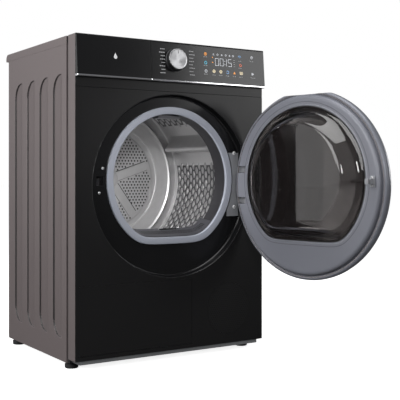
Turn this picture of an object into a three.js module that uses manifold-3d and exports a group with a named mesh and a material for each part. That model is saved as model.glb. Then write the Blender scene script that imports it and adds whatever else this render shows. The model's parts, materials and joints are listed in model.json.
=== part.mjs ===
// Front-loading heat-pump clothes dryer, as an assembly of separate solids.
// Millimetres, +Z up, the front faces -Y. Inside this file x = 0 is the middle of the
// cabinet, y = 0 the flat front panel and z = 0 the floor. The last lines move the whole
// model over the middle of its footprint, with the door standing open.
import * as THREE from 'three';
import { mergeVertices } from 'three/addons/utils/BufferGeometryUtils.js';
import Module from 'manifold-3d';

const wasm = await Module();
wasm.setup();

// ---- cabinet ----
const WIDTH = 595;
const HEIGHT = 870;
const SIDE_DEPTH = 475;
const TOP_OVERHANG = 21;
const SHEET = 1.2;
const GAP = 0.3;
const FRAME_DEPTH = 44;
const SEAM = 11;
const SEAM_RECESS = 4;
const SEAM_STRIP = 4;
const SIDE_BOTTOM = 18;
const TOP_HEIGHT = 21;
const TOP_WALL = 2.5;
const TOP_CORNER = 15;
const PRESSING_DEPTH = 3;
const PRESSING_REACH = 55;
const PRESSING_EDGE = 0.3;
const FRONT_RETURN = 12;
const REAR_RETURN = 17;
const PRESSING_FIRST = 141;
const PRESSING_PITCH = 93.4;
const PRESSING_COUNT = 4;
const PRESSING_FOOT = 79;
const PRESSING_HEAD = 97.5;
const TRAY_WALL = 2.5;
const TRAY_RIM = 45;

// ---- front panel and service flap ----
const PANEL = 2.5;
const PANEL_BOTTOM = 29;
const FLAP_MARGIN = 10.5;
const FLAP_WIDTH = 341.5;
const FLAP_BOTTOM = 41;
const FLAP_HEIGHT = 179;
const GRILLE_R = 73;
const GRILLE_X = 179;
const GRILLE_Z = 128;

// ---- control console and water drawer ----
const CONSOLE_HEIGHT = 105;
const CONSOLE_FOOT = 31;
const CONSOLE_LIP = 14;
const CONSOLE_BROW = 6.3;
const CONSOLE_SKIN = 3;
const CHROME_STRIP = 5;
const DRAWER_WIDTH = 216;
const TANK_WALL = 2.5;
const TANK_WIDTH = 190;
const TANK_LENGTH = 430;
const TANK_HEIGHT = 89;
const TANK_INLET = 60;
const LID = 2.5;
const CHANNEL = 2.5;
const KNOB_R = 30;
const KNOB_X = -6;
const KNOB_HEIGHT = 19;
const KNOB_SHAFT_R = 3;

// ---- loading mouth ----
const RECESS_Z = 477;
const RECESS_R = 251;
const RECESS_FLOOR_R = 245;
const RECESS_DEPTH = 20;
const RECESS_SIDES = 64;
const MOUTH_Z = 494.5;
const MOUTH_R = 180.5;
const MOUTH_FLAT = MOUTH_R - 22;
const RING_WIDTH = 19.5;
const RING_FRONT = 14;
const COLLAR_WALL = 5;
const OUTLINE_SHARPNESS = 26;
const OUTLINE_SIDES = 44;

// ---- drum ----
const DRUM_Z = 495;
const DRUM_R = 250;
const DRUM_FRONT = 76;
const DRUM_LENGTH = 326;
const DRUM_SHEET = 1.5;
const DRUM_SIDES = 40;
const DRUM_LIP_R = DRUM_R - 42;
const DRUM_BACK_R = DRUM_R - 28.5;
const LIFTER_HEIGHT = 45;
const LIFTER_WIDTH = 60;
const LIFTERS = 3;
const LIFTER_TURN = 0.03;
const SHAFT_R = 12;
const BEARING_R = 22;
const BEARING_LENGTH = 16;
const BOSS_WALL = 8;
const ROLLER_R = 30;
const ROLLER_ANGLE = 30;
const ROLLER_WIDTH = 24;
const AXLE_R = 5;
const BULKHEAD = 2.5;
const BULKHEAD_TOP = 745;
const BULKHEAD_BOTTOM = 225;
const FRONT_BULKHEAD_Y = 57;
const REAR_BULKHEAD_Y = 415;

// ---- drive and heat pump ----
const MOTOR_R = 52;
const MOTOR_FRONT = 140;
const MOTOR_LENGTH = 145;
const PULLEY_R = 25;
const BELT = 3;
const BELT_WIDTH = 10;
const BELT_Y = 300;
const BELT_STEPS = 14;
const FAN_R = 60;
const FAN_DEPTH = 38;
const BLADES = 12;
const COMPRESSOR_R = 50;
const COMPRESSOR_HEIGHT = 165;
const EXCHANGER_WIDTH = 290;
const EXCHANGER_HEIGHT = 150;

// ---- lint filter and its cover ----
const FILTER_WIDTH = MOUTH_R + 19.5;
const FILTER_DEPTH = 110;
const FILTER_THICK = 14;
const FILTER_Y = 44;
const LEVER = 46;

// ---- door ----
const DOOR_Z = 480.5;
const DOOR_OPEN = 101.8;
const HINGE_X = 226;
const HINGE_Y = -15.5;
const DOOR_FACE_Y = 6;
const DOOR_FACE_R = 240.5;
const RIM_R = 254.3;
const RIM_FLAT = 241.8;
const GLASS_R = 250.5;
const WINDOW_Z = 493;
const WINDOW_R = MOUTH_R + 16.5;
const WINDOW_FLAT = MOUTH_FLAT + 1.9;
const BOWL_DEPTH = 48;
const HINGE_SPREAD = 88;
const HINGE_Z = 479;
const LUG = 16;
const PIN_R = 4;
const LATCH_X = -219;
const LATCH_Z = 491;
const LATCH_WIDTH = 18.5;
const LATCH_HEIGHT = 24.5;

// ---- feet and cord gland ----
const FOOT_R = 18;
const FOOT_PAD = 14;
const FOOT_STEM_R = 5;
const FOOT_STEM_TOP = 38;
const FOOT_INSET = 23;
const FOOT_FRONT_Y = 73;
const FOOT_REAR_Y = 451;
const GLAND_R = 16;
const GLAND_BORE_R = 6;

// ---- what follows from those sizes ----
const HALF = WIDTH / 2;
const CONSOLE_Z = HEIGHT - CONSOLE_HEIGHT;
const PANEL_TOP = CONSOLE_Z - CONSOLE_FOOT - GAP;
const BODY_FRONT = FRAME_DEPTH + SEAM + GAP;
const COVER_Z = HEIGHT - TOP_HEIGHT;
const SPLIT_X = -HALF + DRAWER_WIDTH;
const FLAP_X = -HALF + FLAP_MARGIN;
const TANK_X = -HALF + 13.5;
const TANK_Z = CONSOLE_Z + 4;
const LEAN = Math.atan((CONSOLE_LIP - CONSOLE_BROW) / CONSOLE_HEIGHT);
const KNOB_Z = CONSOLE_Z + 55;
const TRAY_HALF = HALF - 15.3;
const TRAY_FRONT = 6;
const TRAY_BACK = SIDE_DEPTH - 6;
const TRAY_FLOOR = SIDE_BOTTOM + 3;
const LOW = TRAY_FLOOR + GAP;
const DRUM_END = DRUM_FRONT + DRUM_LENGTH;
const BACK_Y = DRUM_END - 10;
const RECESS_BACK = RECESS_DEPTH + PANEL;
const MOTOR_END = MOTOR_FRONT + MOTOR_LENGTH;
const FAN_FRONT = MOTOR_FRONT - FAN_DEPTH - 24;

const FINISH = {
  graphite: { color: 0x5b5656, roughness: 0.5, metalness: 0.4 },
  black: { color: 0x1b1a1c, roughness: 0.2, metalness: 0.1 },
  matte: { color: 0x141415, roughness: 0.7, metalness: 0 },
  satin: { color: 0x6e7079, roughness: 0.45, metalness: 0.1 },
  ring: { color: 0x8b8f9b, roughness: 0.4, metalness: 0.1 },
  chrome: { color: 0xd8d8da, roughness: 0.1, metalness: 1 },
  steel: { color: 0x9a9a9c, roughness: 0.3, metalness: 1 },
  zinc: { color: 0x8f9296, roughness: 0.5, metalness: 0.8 },
  smoked: { color: 0x3a3432, roughness: 0.05, metalness: 0 },
  grey: { color: 0x77787c, roughness: 0.6, metalness: 0 },
  rubber: { color: 0x101010, roughness: 0.9, metalness: 0 },
  copper: { color: 0xa7a9ab, roughness: 0.4, metalness: 0.9 },
};

// ======== shape helpers ========

// Welds a geometry by position, drops needle faces and turns it to face outwards.
function weld(source) {
  const bare = source.clone();
  bare.deleteAttribute('normal');
  bare.deleteAttribute('uv');
  const merged = mergeVertices(bare, 1e-4);
  const position = merged.getAttribute('position');
  const index = merged.getIndex().array;
  const faces = [];
  const a = new THREE.Vector3();
  const b = new THREE.Vector3();
  const c = new THREE.Vector3();
  let volume = 0;
  for (let i = 0; i < index.length; i += 3) {
    const [p, q, r] = [index[i], index[i + 1], index[i + 2]];
    if (p === q || q === r || r === p) continue;
    faces.push(p, q, r);
    a.fromBufferAttribute(position, p);
    b.fromBufferAttribute(position, q);
    c.fromBufferAttribute(position, r);
    volume += a.dot(b.cross(c));
  }
  if (volume < 0) faces.reverse();
  merged.setIndex(faces);
  return merged;
}

function solid(geometry) {
  const clean = weld(geometry);
  return new wasm.Manifold(new wasm.Mesh({
    numProp: 3,
    vertProperties: new Float32Array(clean.getAttribute('position').array),
    triVerts: new Uint32Array(clean.getIndex().array),
  }));
}

function geometryOf(manifold) {
  const mesh = manifold.getMesh();
  const geometry = new THREE.BufferGeometry();
  geometry.setAttribute('position', new THREE.BufferAttribute(mesh.vertProperties, 3));
  geometry.setIndex(new THREE.BufferAttribute(mesh.triVerts, 1));
  return geometry;
}

function join(...shapes) {
  return geometryOf(shapes.map(solid).reduce((whole, next) => whole.add(next)));
}

function cut(body, ...tools) {
  return geometryOf(tools.map(solid).reduce((left, tool) => left.subtract(tool), solid(body)));
}

function keep(body, region) {
  return geometryOf(solid(body).intersect(solid(region)));
}

function block(x0, x1, y0, y1, z0, z1) {
  const box = new THREE.BoxGeometry(x1 - x0, y1 - y0, z1 - z0);
  return box.translate((x0 + x1) / 2, (y0 + y1) / 2, (z0 + z1) / 2);
}

// Extrudes a shape drawn in X and Z from y0 to y1.
function plate(shape, y0, y1, curveSegments = 12) {
  const flat = new THREE.ExtrudeGeometry(shape, { depth: y1 - y0, bevelEnabled: false, curveSegments });
  return flat.rotateX(Math.PI / 2).translate(0, y1, 0);
}

// Extrudes a shape drawn in Y and Z from x0 to x1.
function prism(shape, x0, x1, curveSegments = 8) {
  const bar = new THREE.ExtrudeGeometry(shape, { depth: x1 - x0, bevelEnabled: false, curveSegments });
  const turn = new THREE.Matrix4().makeBasis(
    new THREE.Vector3(0, 1, 0),
    new THREE.Vector3(0, 0, 1),
    new THREE.Vector3(1, 0, 0),
  );
  return bar.applyMatrix4(turn).translate(x0, 0, 0);
}

// Extrudes a shape drawn in X and Y from z0 to z1.
function slab(shape, z0, z1, curveSegments = 8) {
  const part = new THREE.ExtrudeGeometry(shape, { depth: z1 - z0, bevelEnabled: false, curveSegments });
  return part.translate(0, 0, z0);
}

function polygon(points) {
  return new THREE.Shape(points.map(([u, v]) => new THREE.Vector2(u, v)));
}

function rectangle(u0, u1, v0, v1) {
  return polygon([[u0, v0], [u1, v0], [u1, v1], [u0, v1]]);
}

function circle(u, v, radius) {
  return new THREE.Shape().absarc(u, v, radius, 0, 2 * Math.PI, false);
}

// Spins [radius, y] points round a front-to-back axis at (x, z).
function turned(profile, x, z, segments) {
  const points = profile.map(([radius, y]) => new THREE.Vector2(radius, y));
  return new THREE.LatheGeometry(points, segments).translate(x, 0, z);
}

function ringProfile(inner, outer, y0, y1) {
  return [[inner, y0], [outer, y0], [outer, y1], [inner, y1], [inner, y0]];
}

function rod(radius, x, z, y0, y1, segments = 20) {
  return turned([[0, y0], [radius, y0], [radius, y1], [0, y1]], x, z, segments);
}

function post(radius, x, y, z0, z1, segments = 16) {
  const bar = new THREE.CylinderGeometry(radius, radius, z1 - z0, segments);
  return bar.rotateX(Math.PI / 2).translate(x, y, (z0 + z1) / 2);
}

// A circle with a flat chord under it, blended at the two corners, as a ring of points.
function flatRound(radius, flat, y, z, count = OUTLINE_SIDES) {
  const points = [];
  for (let k = 0; k < count; k += 1) {
    const angle = (2 * Math.PI * k) / count;
    const down = Math.max(0, -Math.sin(angle)) / flat;
    const blend = (1 / radius) ** OUTLINE_SHARPNESS + down ** OUTLINE_SHARPNESS;
    const reach = blend ** (-1 / OUTLINE_SHARPNESS);
    points.push(new THREE.Vector3(reach * Math.cos(angle), y, z + reach * Math.sin(angle)));
  }
  return points;
}

// Skins rings of points. A closed skin joins the last ring to the first; an open one is capped.
function skin(rings, closed) {
  const count = rings[0].length;
  const vertices = rings.flat().flatMap((point) => [point.x, point.y, point.z]);
  const faces = [];
  const bands = closed ? rings.length : rings.length - 1;
  for (let band = 0; band < bands; band += 1) {
    const here = band * count;
    const there = ((band + 1) % rings.length) * count;
    for (let k = 0; k < count; k += 1) {
      const next = (k + 1) % count;
      faces.push(here + k, there + k, there + next, here + k, there + next, here + next);
    }
  }
  if (!closed) {
    const last = (rings.length - 1) * count;
    for (let k = 1; k < count - 1; k += 1) {
      faces.push(0, k, k + 1, last, last + k + 1, last + k);
    }
  }
  const geometry = new THREE.BufferGeometry();
  geometry.setAttribute('position', new THREE.Float32BufferAttribute(vertices, 3));
  geometry.setIndex(faces);
  return geometry;
}

function piece(name, geometry, finish) {
  const mesh = new THREE.Mesh(weld(geometry), new THREE.MeshStandardMaterial(FINISH[finish]));
  mesh.name = name;
  return mesh;
}

// ======== cabinet ========

function baseTray() {
  const outer = block(-TRAY_HALF, TRAY_HALF, TRAY_FRONT, TRAY_BACK, SIDE_BOTTOM, TRAY_RIM);
  const hollow = block(
    -TRAY_HALF + TRAY_WALL,
    TRAY_HALF - TRAY_WALL,
    TRAY_FRONT + TRAY_WALL,
    TRAY_BACK - TRAY_WALL,
    TRAY_FLOOR,
    TRAY_RIM + 1,
  );
  const bore = FOOT_STEM_R + GAP;
  const holes = footPlaces().map(([, x, y]) => post(bore, x, y, SIDE_BOTTOM - 1, TRAY_FLOOR + 1));
  return cut(outer, hollow, ...holes);
}

// One pressed swage: a step across the sheet that fades out towards the front. The tool that
// dents the outside starts clear of the sheet; the bulge behind it is a sheet's thickness larger.
function pressing(index, outside, start, grow) {
  const step = PRESSING_FIRST + index * PRESSING_PITCH;
  const fade = step - PRESSING_REACH - grow;
  const wedge = polygon([
    [start, step + grow],
    [outside + PRESSING_DEPTH + grow, step + grow],
    [outside + PRESSING_EDGE + grow, fade],
    [start, fade],
  ]);
  return slab(wedge, PRESSING_FOOT - grow, HEIGHT - PRESSING_HEAD + grow);
}

function sidePanel(side) {
  const outside = -HALF;
  const top = COVER_Z - GAP;
  const numbers = [...Array(PRESSING_COUNT).keys()];
  const section = polygon([
    [outside, BODY_FRONT],
    [outside + FRONT_RETURN, BODY_FRONT],
    [outside + FRONT_RETURN, BODY_FRONT + SHEET],
    [outside + SHEET, BODY_FRONT + SHEET],
    [outside + SHEET, SIDE_DEPTH - SHEET],
    [outside + REAR_RETURN, SIDE_DEPTH - SHEET],
    [outside + REAR_RETURN, SIDE_DEPTH],
    [outside, SIDE_DEPTH],
  ]);
  const bulges = numbers.map((index) => pressing(index, outside, outside + SHEET / 2, SHEET));
  const panel = join(slab(section, SIDE_BOTTOM, top), ...bulges);
  const left = cut(panel, ...numbers.map((index) => pressing(index, outside, outside - 1, 0)));
  return side < 0 ? left : left.scale(-1, 1, 1);
}

function rearPanel() {
  const y0 = SIDE_DEPTH - 3;
  const half = HALF - 5.5;
  const shape = rectangle(-half, half, SIDE_BOTTOM + 4, COVER_Z - 3);
  const [gx, gz] = glandPlace();
  shape.holes.push(circle(gx, gz, GLAND_R - 3 + GAP));
  return plate(shape, y0, y0 + SHEET);
}

function topCover() {
  const back = SIDE_DEPTH + TOP_OVERHANG;
  const side = new THREE.Shape();
  side.moveTo(BODY_FRONT, COVER_Z);
  side.lineTo(back, COVER_Z);
  side.absarc(back - TOP_CORNER, HEIGHT - TOP_CORNER, TOP_CORNER, 0, Math.PI / 2, false);
  side.lineTo(BODY_FRONT, HEIGHT);
  const outer = prism(side, -HALF, HALF);
  const hollow = block(
    -HALF + TOP_WALL,
    HALF - TOP_WALL,
    BODY_FRONT - 1,
    back - TOP_CORNER + TOP_WALL,
    COVER_Z - 1,
    HEIGHT - TOP_WALL,
  );
  return cut(outer, hollow);
}

// The recessed black strip between the front frame and the body, up both sides and over the top.
function seamFrame() {
  const out = HALF - SEAM_RECESS;
  const top = HEIGHT - SEAM_RECESS;
  const arch = polygon([
    [-out, SIDE_BOTTOM],
    [-out + SEAM_STRIP, SIDE_BOTTOM],
    [-out + SEAM_STRIP, top - SEAM_STRIP],
    [out - SEAM_STRIP, top - SEAM_STRIP],
    [out - SEAM_STRIP, SIDE_BOTTOM],
    [out, SIDE_BOTTOM],
    [out, top],
    [-out, top],
  ]);
  return plate(arch, FRAME_DEPTH + GAP, FRAME_DEPTH + SEAM);
}

function frontPanel() {
  const face = rectangle(-HALF, HALF, PANEL_BOTTOM, PANEL_TOP);
  face.holes.push(circle(0, RECESS_Z, RECESS_R + GAP));
  face.holes.push(rectangle(
    FLAP_X - GAP,
    FLAP_X + FLAP_WIDTH + GAP,
    FLAP_BOTTOM - 1,
    FLAP_BOTTOM + FLAP_HEIGHT + GAP,
  ));
  face.holes.push(circle(GRILLE_X, GRILLE_Z, GRILLE_R + GAP));
  const edges = [-HALF, HALF - PANEL];
  const returns = edges.map((x) => block(x, x + PANEL, 0, FRAME_DEPTH, PANEL_BOTTOM, PANEL_TOP));
  return join(plate(face, 0, PANEL, RECESS_SIDES / 2), ...returns);
}

function recessBezel() {
  const inner = MOUTH_R - 30;
  const dish = turned([
    [RECESS_R, 0],
    [RECESS_FLOOR_R, RECESS_DEPTH],
    [inner, RECESS_DEPTH],
    [inner, RECESS_BACK],
    [RECESS_FLOOR_R + PANEL, RECESS_BACK],
    [RECESS_R, 8],
    [RECESS_R, 0],
  ], 0, RECESS_Z, RECESS_SIDES);
  const seat = skin([
    flatRound(MOUTH_R + 10, MOUTH_FLAT + 10, RECESS_DEPTH - 5, MOUTH_Z),
    flatRound(MOUTH_R + 10, MOUTH_FLAT + 10, RECESS_BACK + 5, MOUTH_Z),
  ], false);
  const latchHole = block(
    LATCH_X - LATCH_WIDTH / 2,
    LATCH_X + LATCH_WIDTH / 2,
    RECESS_DEPTH - 5,
    RECESS_BACK + 5,
    LATCH_Z - LATCH_HEIGHT / 2,
    LATCH_Z + LATCH_HEIGHT / 2,
  );
  return cut(dish, seat, latchHole);
}

function openingRing() {
  const outer = MOUTH_R + RING_WIDTH;
  const outerFlat = MOUTH_FLAT + RING_WIDTH - 1;
  const seat = RECESS_DEPTH - GAP;
  const spigot = MOUTH_R + 9;
  const spigotFlat = MOUTH_FLAT + 9;
  return skin([
    flatRound(outer - 2, outerFlat - 2, RING_FRONT, MOUTH_Z),
    flatRound(outer, outerFlat, RING_FRONT + 2, MOUTH_Z),
    flatRound(outer, outerFlat, seat, MOUTH_Z),
    flatRound(spigot, spigotFlat, seat, MOUTH_Z),
    flatRound(spigot, spigotFlat, RECESS_BACK, MOUTH_Z),
    flatRound(MOUTH_R, MOUTH_FLAT, RECESS_BACK, MOUTH_Z),
    flatRound(MOUTH_R, MOUTH_FLAT, RING_FRONT + 2, MOUTH_Z),
    flatRound(MOUTH_R + 2, MOUTH_FLAT + 2, RING_FRONT, MOUTH_Z),
  ], true);
}

// ======== console and water drawer ========

function consoleHousing() {
  const foot = CONSOLE_Z - CONSOLE_FOOT;
  const shell = block(-HALF, HALF, 0, FRAME_DEPTH, foot, HEIGHT);
  const web = TANK_X + TANK_WIDTH + 6;
  const head = HEIGHT - CONSOLE_SKIN;
  const floor = CONSOLE_Z - 1;
  const through = FRAME_DEPTH + 1;
  return cut(
    shell,
    block(-HALF + CONSOLE_SKIN, web, -1, through, floor, head),
    block(web + CONSOLE_SKIN, HALF - CONSOLE_SKIN, -1, through, floor, head),
    block(
      -HALF + CONSOLE_SKIN,
      HALF - CONSOLE_SKIN,
      PANEL,
      through,
      foot + CONSOLE_SKIN,
      floor - CONSOLE_SKIN,
    ),
  );
}

function consoleSection(inset) {
  const bottom = CONSOLE_Z + GAP + inset;
  const shape = new THREE.Shape();
  shape.moveTo(-CONSOLE_LIP + inset, bottom);
  shape.lineTo(inset ? 1 : -GAP, bottom);
  shape.lineTo(inset ? 1 : -GAP, HEIGHT - inset);
  shape.lineTo(-CONSOLE_BROW + 4, HEIGHT - inset);
  shape.quadraticCurveTo(-CONSOLE_BROW + inset, HEIGHT - inset, -CONSOLE_BROW + inset, HEIGHT - 6 - inset);
  return shape;
}

function consoleFront(x0, x1) {
  const body = prism(consoleSection(0), x0, x1);
  const pocket = prism(consoleSection(CONSOLE_SKIN), x0 + CONSOLE_SKIN, x1 - CONSOLE_SKIN);
  return cut(body, pocket);
}

function knobPlane() {
  return -CONSOLE_LIP + (KNOB_Z - CONSOLE_Z) * Math.tan(LEAN);
}

function consoleFascia() {
  const hole = new THREE.CylinderGeometry(KNOB_SHAFT_R + 1, KNOB_SHAFT_R + 1, 60, 24);
  hole.rotateX(Math.PI - LEAN).translate(KNOB_X, knobPlane(), KNOB_Z);
  return cut(consoleFront(SPLIT_X + 1, HALF), hole);
}

function chromeStrip(x0, x1) {
  const top = CONSOLE_Z;
  return prism(polygon([
    [-CONSOLE_LIP - 0.5, top - CHROME_STRIP + 1.5],
    [-CONSOLE_LIP + 1, top - CHROME_STRIP],
    [-GAP, top - CHROME_STRIP],
    [-GAP, top],
    [-CONSOLE_LIP - 0.5, top],
  ]), x0, x1);
}

// A turned knob on its own axis, +Y outwards, with its shaft behind it.
function knob() {
  return new THREE.LatheGeometry([
    [0, -9],
    [KNOB_SHAFT_R, -9],
    [KNOB_SHAFT_R, GAP],
    [KNOB_R + 1, GAP],
    [KNOB_R + 1, 3],
    [KNOB_R, 4],
    [KNOB_R, KNOB_HEIGHT - 1.5],
    [KNOB_R - 1.5, KNOB_HEIGHT],
    [0, KNOB_HEIGHT],
  ].map(([radius, y]) => new THREE.Vector2(radius, y)), 36);
}

function controlBoard() {
  const web = TANK_X + TANK_WIDTH + 6 + CONSOLE_SKIN;
  const board = block(web + 8, HALF - 20, 5, 6.6, CONSOLE_Z + 8, HEIGHT - 10);
  const encoder = block(KNOB_X - 8, KNOB_X + 8, 1.5, 5.5, KNOB_Z - 9, KNOB_Z + 8);
  const display = block(KNOB_X + 126, KNOB_X + 196, 1.5, 5.5, KNOB_Z - 10, KNOB_Z + 24);
  const relay = block(HALF - 80, HALF - 52, 6, 22, KNOB_Z - 20, KNOB_Z + 4);
  return join(board, encoder, display, relay);
}

function waterTank() {
  const x1 = TANK_X + TANK_WIDTH;
  const top = TANK_Z + TANK_HEIGHT;
  const outer = block(TANK_X, x1, 0, TANK_LENGTH, TANK_Z, top);
  const inner = block(
    TANK_X + TANK_WALL,
    x1 - TANK_WALL,
    TANK_WALL,
    TANK_LENGTH - TANK_WALL,
    TANK_Z + TANK_WALL,
    top + 1,
  );
  return cut(outer, inner);
}

function tankLid() {
  const z = TANK_Z + TANK_HEIGHT + GAP;
  const middle = TANK_X + TANK_WIDTH / 2;
  const lid = block(TANK_X, TANK_X + TANK_WIDTH, FRAME_DEPTH / 4, TANK_LENGTH, z, z + LID);
  const inlet = block(
    middle - TANK_INLET / 2,
    middle + TANK_INLET / 2,
    TANK_LENGTH - TANK_INLET - 30,
    TANK_LENGTH - 30,
    z - 1,
    z + LID + 1,
  );
  return cut(lid, inlet);
}

function tankChannel() {
  const x0 = TANK_X - GAP - 1 - CHANNEL;
  const x1 = TANK_X + TANK_WIDTH + GAP + 1 + CHANNEL;
  const z = TANK_Z - GAP - CHANNEL;
  const start = BODY_FRONT + 1.7;
  const end = SIDE_DEPTH - 15;
  const outer = block(x0, x1, start, end, z, TANK_Z + TANK_HEIGHT / 3);
  return cut(outer, block(x0 + CHANNEL, x1 - CHANNEL, start - 1, end - CHANNEL, z + CHANNEL, HEIGHT));
}

// ======== drum, bulkheads and bearings ========

function bulkheadShape() {
  const half = HALF - 13.5;
  const leg = 20;
  return polygon([
    [-half, LOW + TRAY_RIM],
    [-half + leg, LOW + TRAY_RIM],
    [-half + leg, BULKHEAD_BOTTOM],
    [half - leg, BULKHEAD_BOTTOM],
    [half - leg, LOW + TRAY_RIM],
    [half, LOW + TRAY_RIM],
    [half, BULKHEAD_TOP],
    [-half, BULKHEAD_TOP],
  ]);
}

function rollerPlaces() {
  const reach = DRUM_R + ROLLER_R + 2 * GAP;
  const angle = (ROLLER_ANGLE * Math.PI) / 180;
  const x = reach * Math.sin(angle);
  const z = DRUM_Z - reach * Math.cos(angle);
  return [['left', -x, z], ['right', x, z]];
}

// Front bulkhead with the moulded duct from the loading mouth to the drum and the roller axles.
function frontBulkhead() {
  const y0 = FRONT_BULKHEAD_Y;
  const start = RECESS_BACK + GAP;
  const end = DRUM_FRONT - 2;
  const wide = MOUTH_R + COLLAR_WALL;
  const wideFlat = MOUTH_FLAT + COLLAR_WALL;
  const wall = plate(bulkheadShape(), y0, y0 + BULKHEAD);
  const sleeve = skin([
    flatRound(wide, wideFlat, start, MOUTH_Z),
    flatRound(wide, wideFlat, end, MOUTH_Z),
  ], false);
  const bore = skin([
    flatRound(MOUTH_R + 0.5, MOUTH_FLAT + 0.5, start - 1, MOUTH_Z),
    flatRound(MOUTH_R + 0.5, MOUTH_FLAT + 0.5, end + 1, MOUTH_Z),
  ], false);
  const felt = turned(ringProfile(DRUM_LIP_R - 10, DRUM_LIP_R - 2, y0 + 1, end), 0, DRUM_Z, DRUM_SIDES);
  const axleEnd = DRUM_FRONT + ROLLER_WIDTH + 10;
  const axles = rollerPlaces().map(([, x, z]) => rod(AXLE_R, x, z, y0 + 1, axleEnd, 16));
  const slot = block(
    -FILTER_WIDTH / 2 - 1,
    FILTER_WIDTH / 2 + 1,
    FILTER_Y - FILTER_THICK / 2 - 1,
    FILTER_Y + FILTER_THICK / 2 + 1,
    MOUTH_Z - wideFlat - 5,
    MOUTH_Z - MOUTH_FLAT + 12,
  );
  return cut(join(wall, sleeve, felt, ...axles), bore, slot);
}

function rearBulkhead() {
  const y0 = REAR_BULKHEAD_Y;
  const outer = BEARING_R + BOSS_WALL;
  const wall = plate(bulkheadShape(), y0, y0 + BULKHEAD);
  const boss = rod(outer, 0, DRUM_Z, y0, y0 + BEARING_LENGTH + 4, 36);
  const bore = rod(BEARING_R + GAP, 0, DRUM_Z, y0 - 1, y0 + BEARING_LENGTH + 5, 36);
  return cut(join(wall, boss), bore);
}

function rearBearing() {
  const y0 = REAR_BULKHEAD_Y + 2;
  return turned(ringProfile(SHAFT_R + GAP + 0.1, BEARING_R, y0, y0 + BEARING_LENGTH), 0, DRUM_Z, 36);
}

// The drum pieces are drawn round the origin and placed at the drum's height by their group.
function drumShell() {
  const r = DRUM_R;
  const t = DRUM_SHEET;
  return turned([
    [DRUM_LIP_R, DRUM_FRONT],
    [r - 4, DRUM_FRONT],
    [r, DRUM_FRONT + 4],
    [r, DRUM_END - 4],
    [r - 4, DRUM_END],
    [DRUM_BACK_R + GAP, DRUM_END],
    [DRUM_BACK_R + GAP, DRUM_END - t],
    [r - 4.6, DRUM_END - t],
    [r - t, DRUM_END - 4.6],
    [r - t, DRUM_FRONT + 4.6],
    [r - 4.6, DRUM_FRONT + t],
    [DRUM_LIP_R, DRUM_FRONT + t],
    [DRUM_LIP_R, DRUM_FRONT],
  ], 0, 0, DRUM_SIDES);
}

function drumBack() {
  const t = DRUM_SHEET;
  const y = BACK_Y;
  const r = DRUM_BACK_R;
  const front = [
    [0, y],
    [r - 71.5, y],
    [r - 68.5, y + 3],
    [r - 56.5, y + 3],
    [r - 53.5, y - 1],
    [r - 16.5, y - 5],
    [r - 9.5, y - 9],
    [r - 3.5, y - 5],
    [r, DRUM_END - t],
  ];
  const rear = front.map(([radius, depth]) => [radius, depth + t]).reverse();
  return turned([...front, ...rear], 0, 0, DRUM_SIDES);
}

function drumShaft() {
  const y0 = BACK_Y + DRUM_SHEET + GAP;
  return turned([
    [0, y0],
    [55, y0],
    [55, y0 + 4],
    [SHAFT_R + 6, y0 + 8],
    [SHAFT_R, y0 + 14],
    [SHAFT_R, REAR_BULKHEAD_Y + BEARING_LENGTH + 12],
    [0, REAR_BULKHEAD_Y + BEARING_LENGTH + 12],
  ], 0, 0, 36);
}

function drumLifter(index) {
  const inside = (DRUM_R - DRUM_SHEET) * Math.cos(Math.PI / DRUM_SIDES) - GAP;
  const half = LIFTER_WIDTH / 2;
  const base = Math.sqrt(inside ** 2 - half ** 2);
  const tip = base - LIFTER_HEIGHT;
  const shape = new THREE.Shape();
  shape.moveTo(-half, -base);
  shape.lineTo(half, -base);
  shape.lineTo(half - 12, -base + 12);
  shape.quadraticCurveTo(9, -tip - 6, 6, -tip - 2);
  shape.quadraticCurveTo(0, -tip + 2, -6, -tip - 2);
  shape.quadraticCurveTo(-9, -tip - 6, -half + 12, -base + 12);
  const bar = plate(shape, DRUM_FRONT + 26, DRUM_END - 22, 5);
  return bar.rotateY((2 * Math.PI * (index + LIFTER_TURN)) / LIFTERS);
}

function supportRoller() {
  const y0 = DRUM_FRONT + 8;
  return turned([
    [AXLE_R + GAP + 0.1, y0 - 2],
    [12, y0 - 2],
    [12, y0],
    [ROLLER_R, y0],
    [ROLLER_R, y0 + ROLLER_WIDTH],
    [AXLE_R + GAP + 0.1, y0 + ROLLER_WIDTH],
    [AXLE_R + GAP + 0.1, y0 - 2],
  ], 0, 0, 24);
}

// ======== drive ========

function motorBody() {
  const x = GRILLE_X;
  const z = GRILLE_Z;
  const can = rod(MOTOR_R, x, z, MOTOR_FRONT, MOTOR_END, 32);
  const foot = block(x - 34, x + 34, MOTOR_FRONT + 30, MOTOR_END - 30, LOW, z - MOTOR_R / 2);
  return cut(join(can, foot), rod(9, x, z, MOTOR_FRONT - 1, MOTOR_END + 1, 16));
}

// Drawn round the motor's axis: the shaft that carries the fan in front and the belt pulley behind.
function motorPulley() {
  const half = BELT_WIDTH / 2 + 1;
  return turned([
    [0, FAN_FRONT],
    [6, FAN_FRONT],
    [6, MOTOR_FRONT],
    [8, MOTOR_FRONT + 4],
    [8, BELT_Y - half - 4],
    [PULLEY_R + 4, BELT_Y - half - 3],
    [PULLEY_R + 4, BELT_Y - half],
    [PULLEY_R, BELT_Y - half],
    [PULLEY_R, BELT_Y + half],
    [PULLEY_R + 4, BELT_Y + half],
    [PULLEY_R + 4, BELT_Y + half + 3],
    [0, BELT_Y + half + 3],
  ], 0, 0, 24);
}

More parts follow.
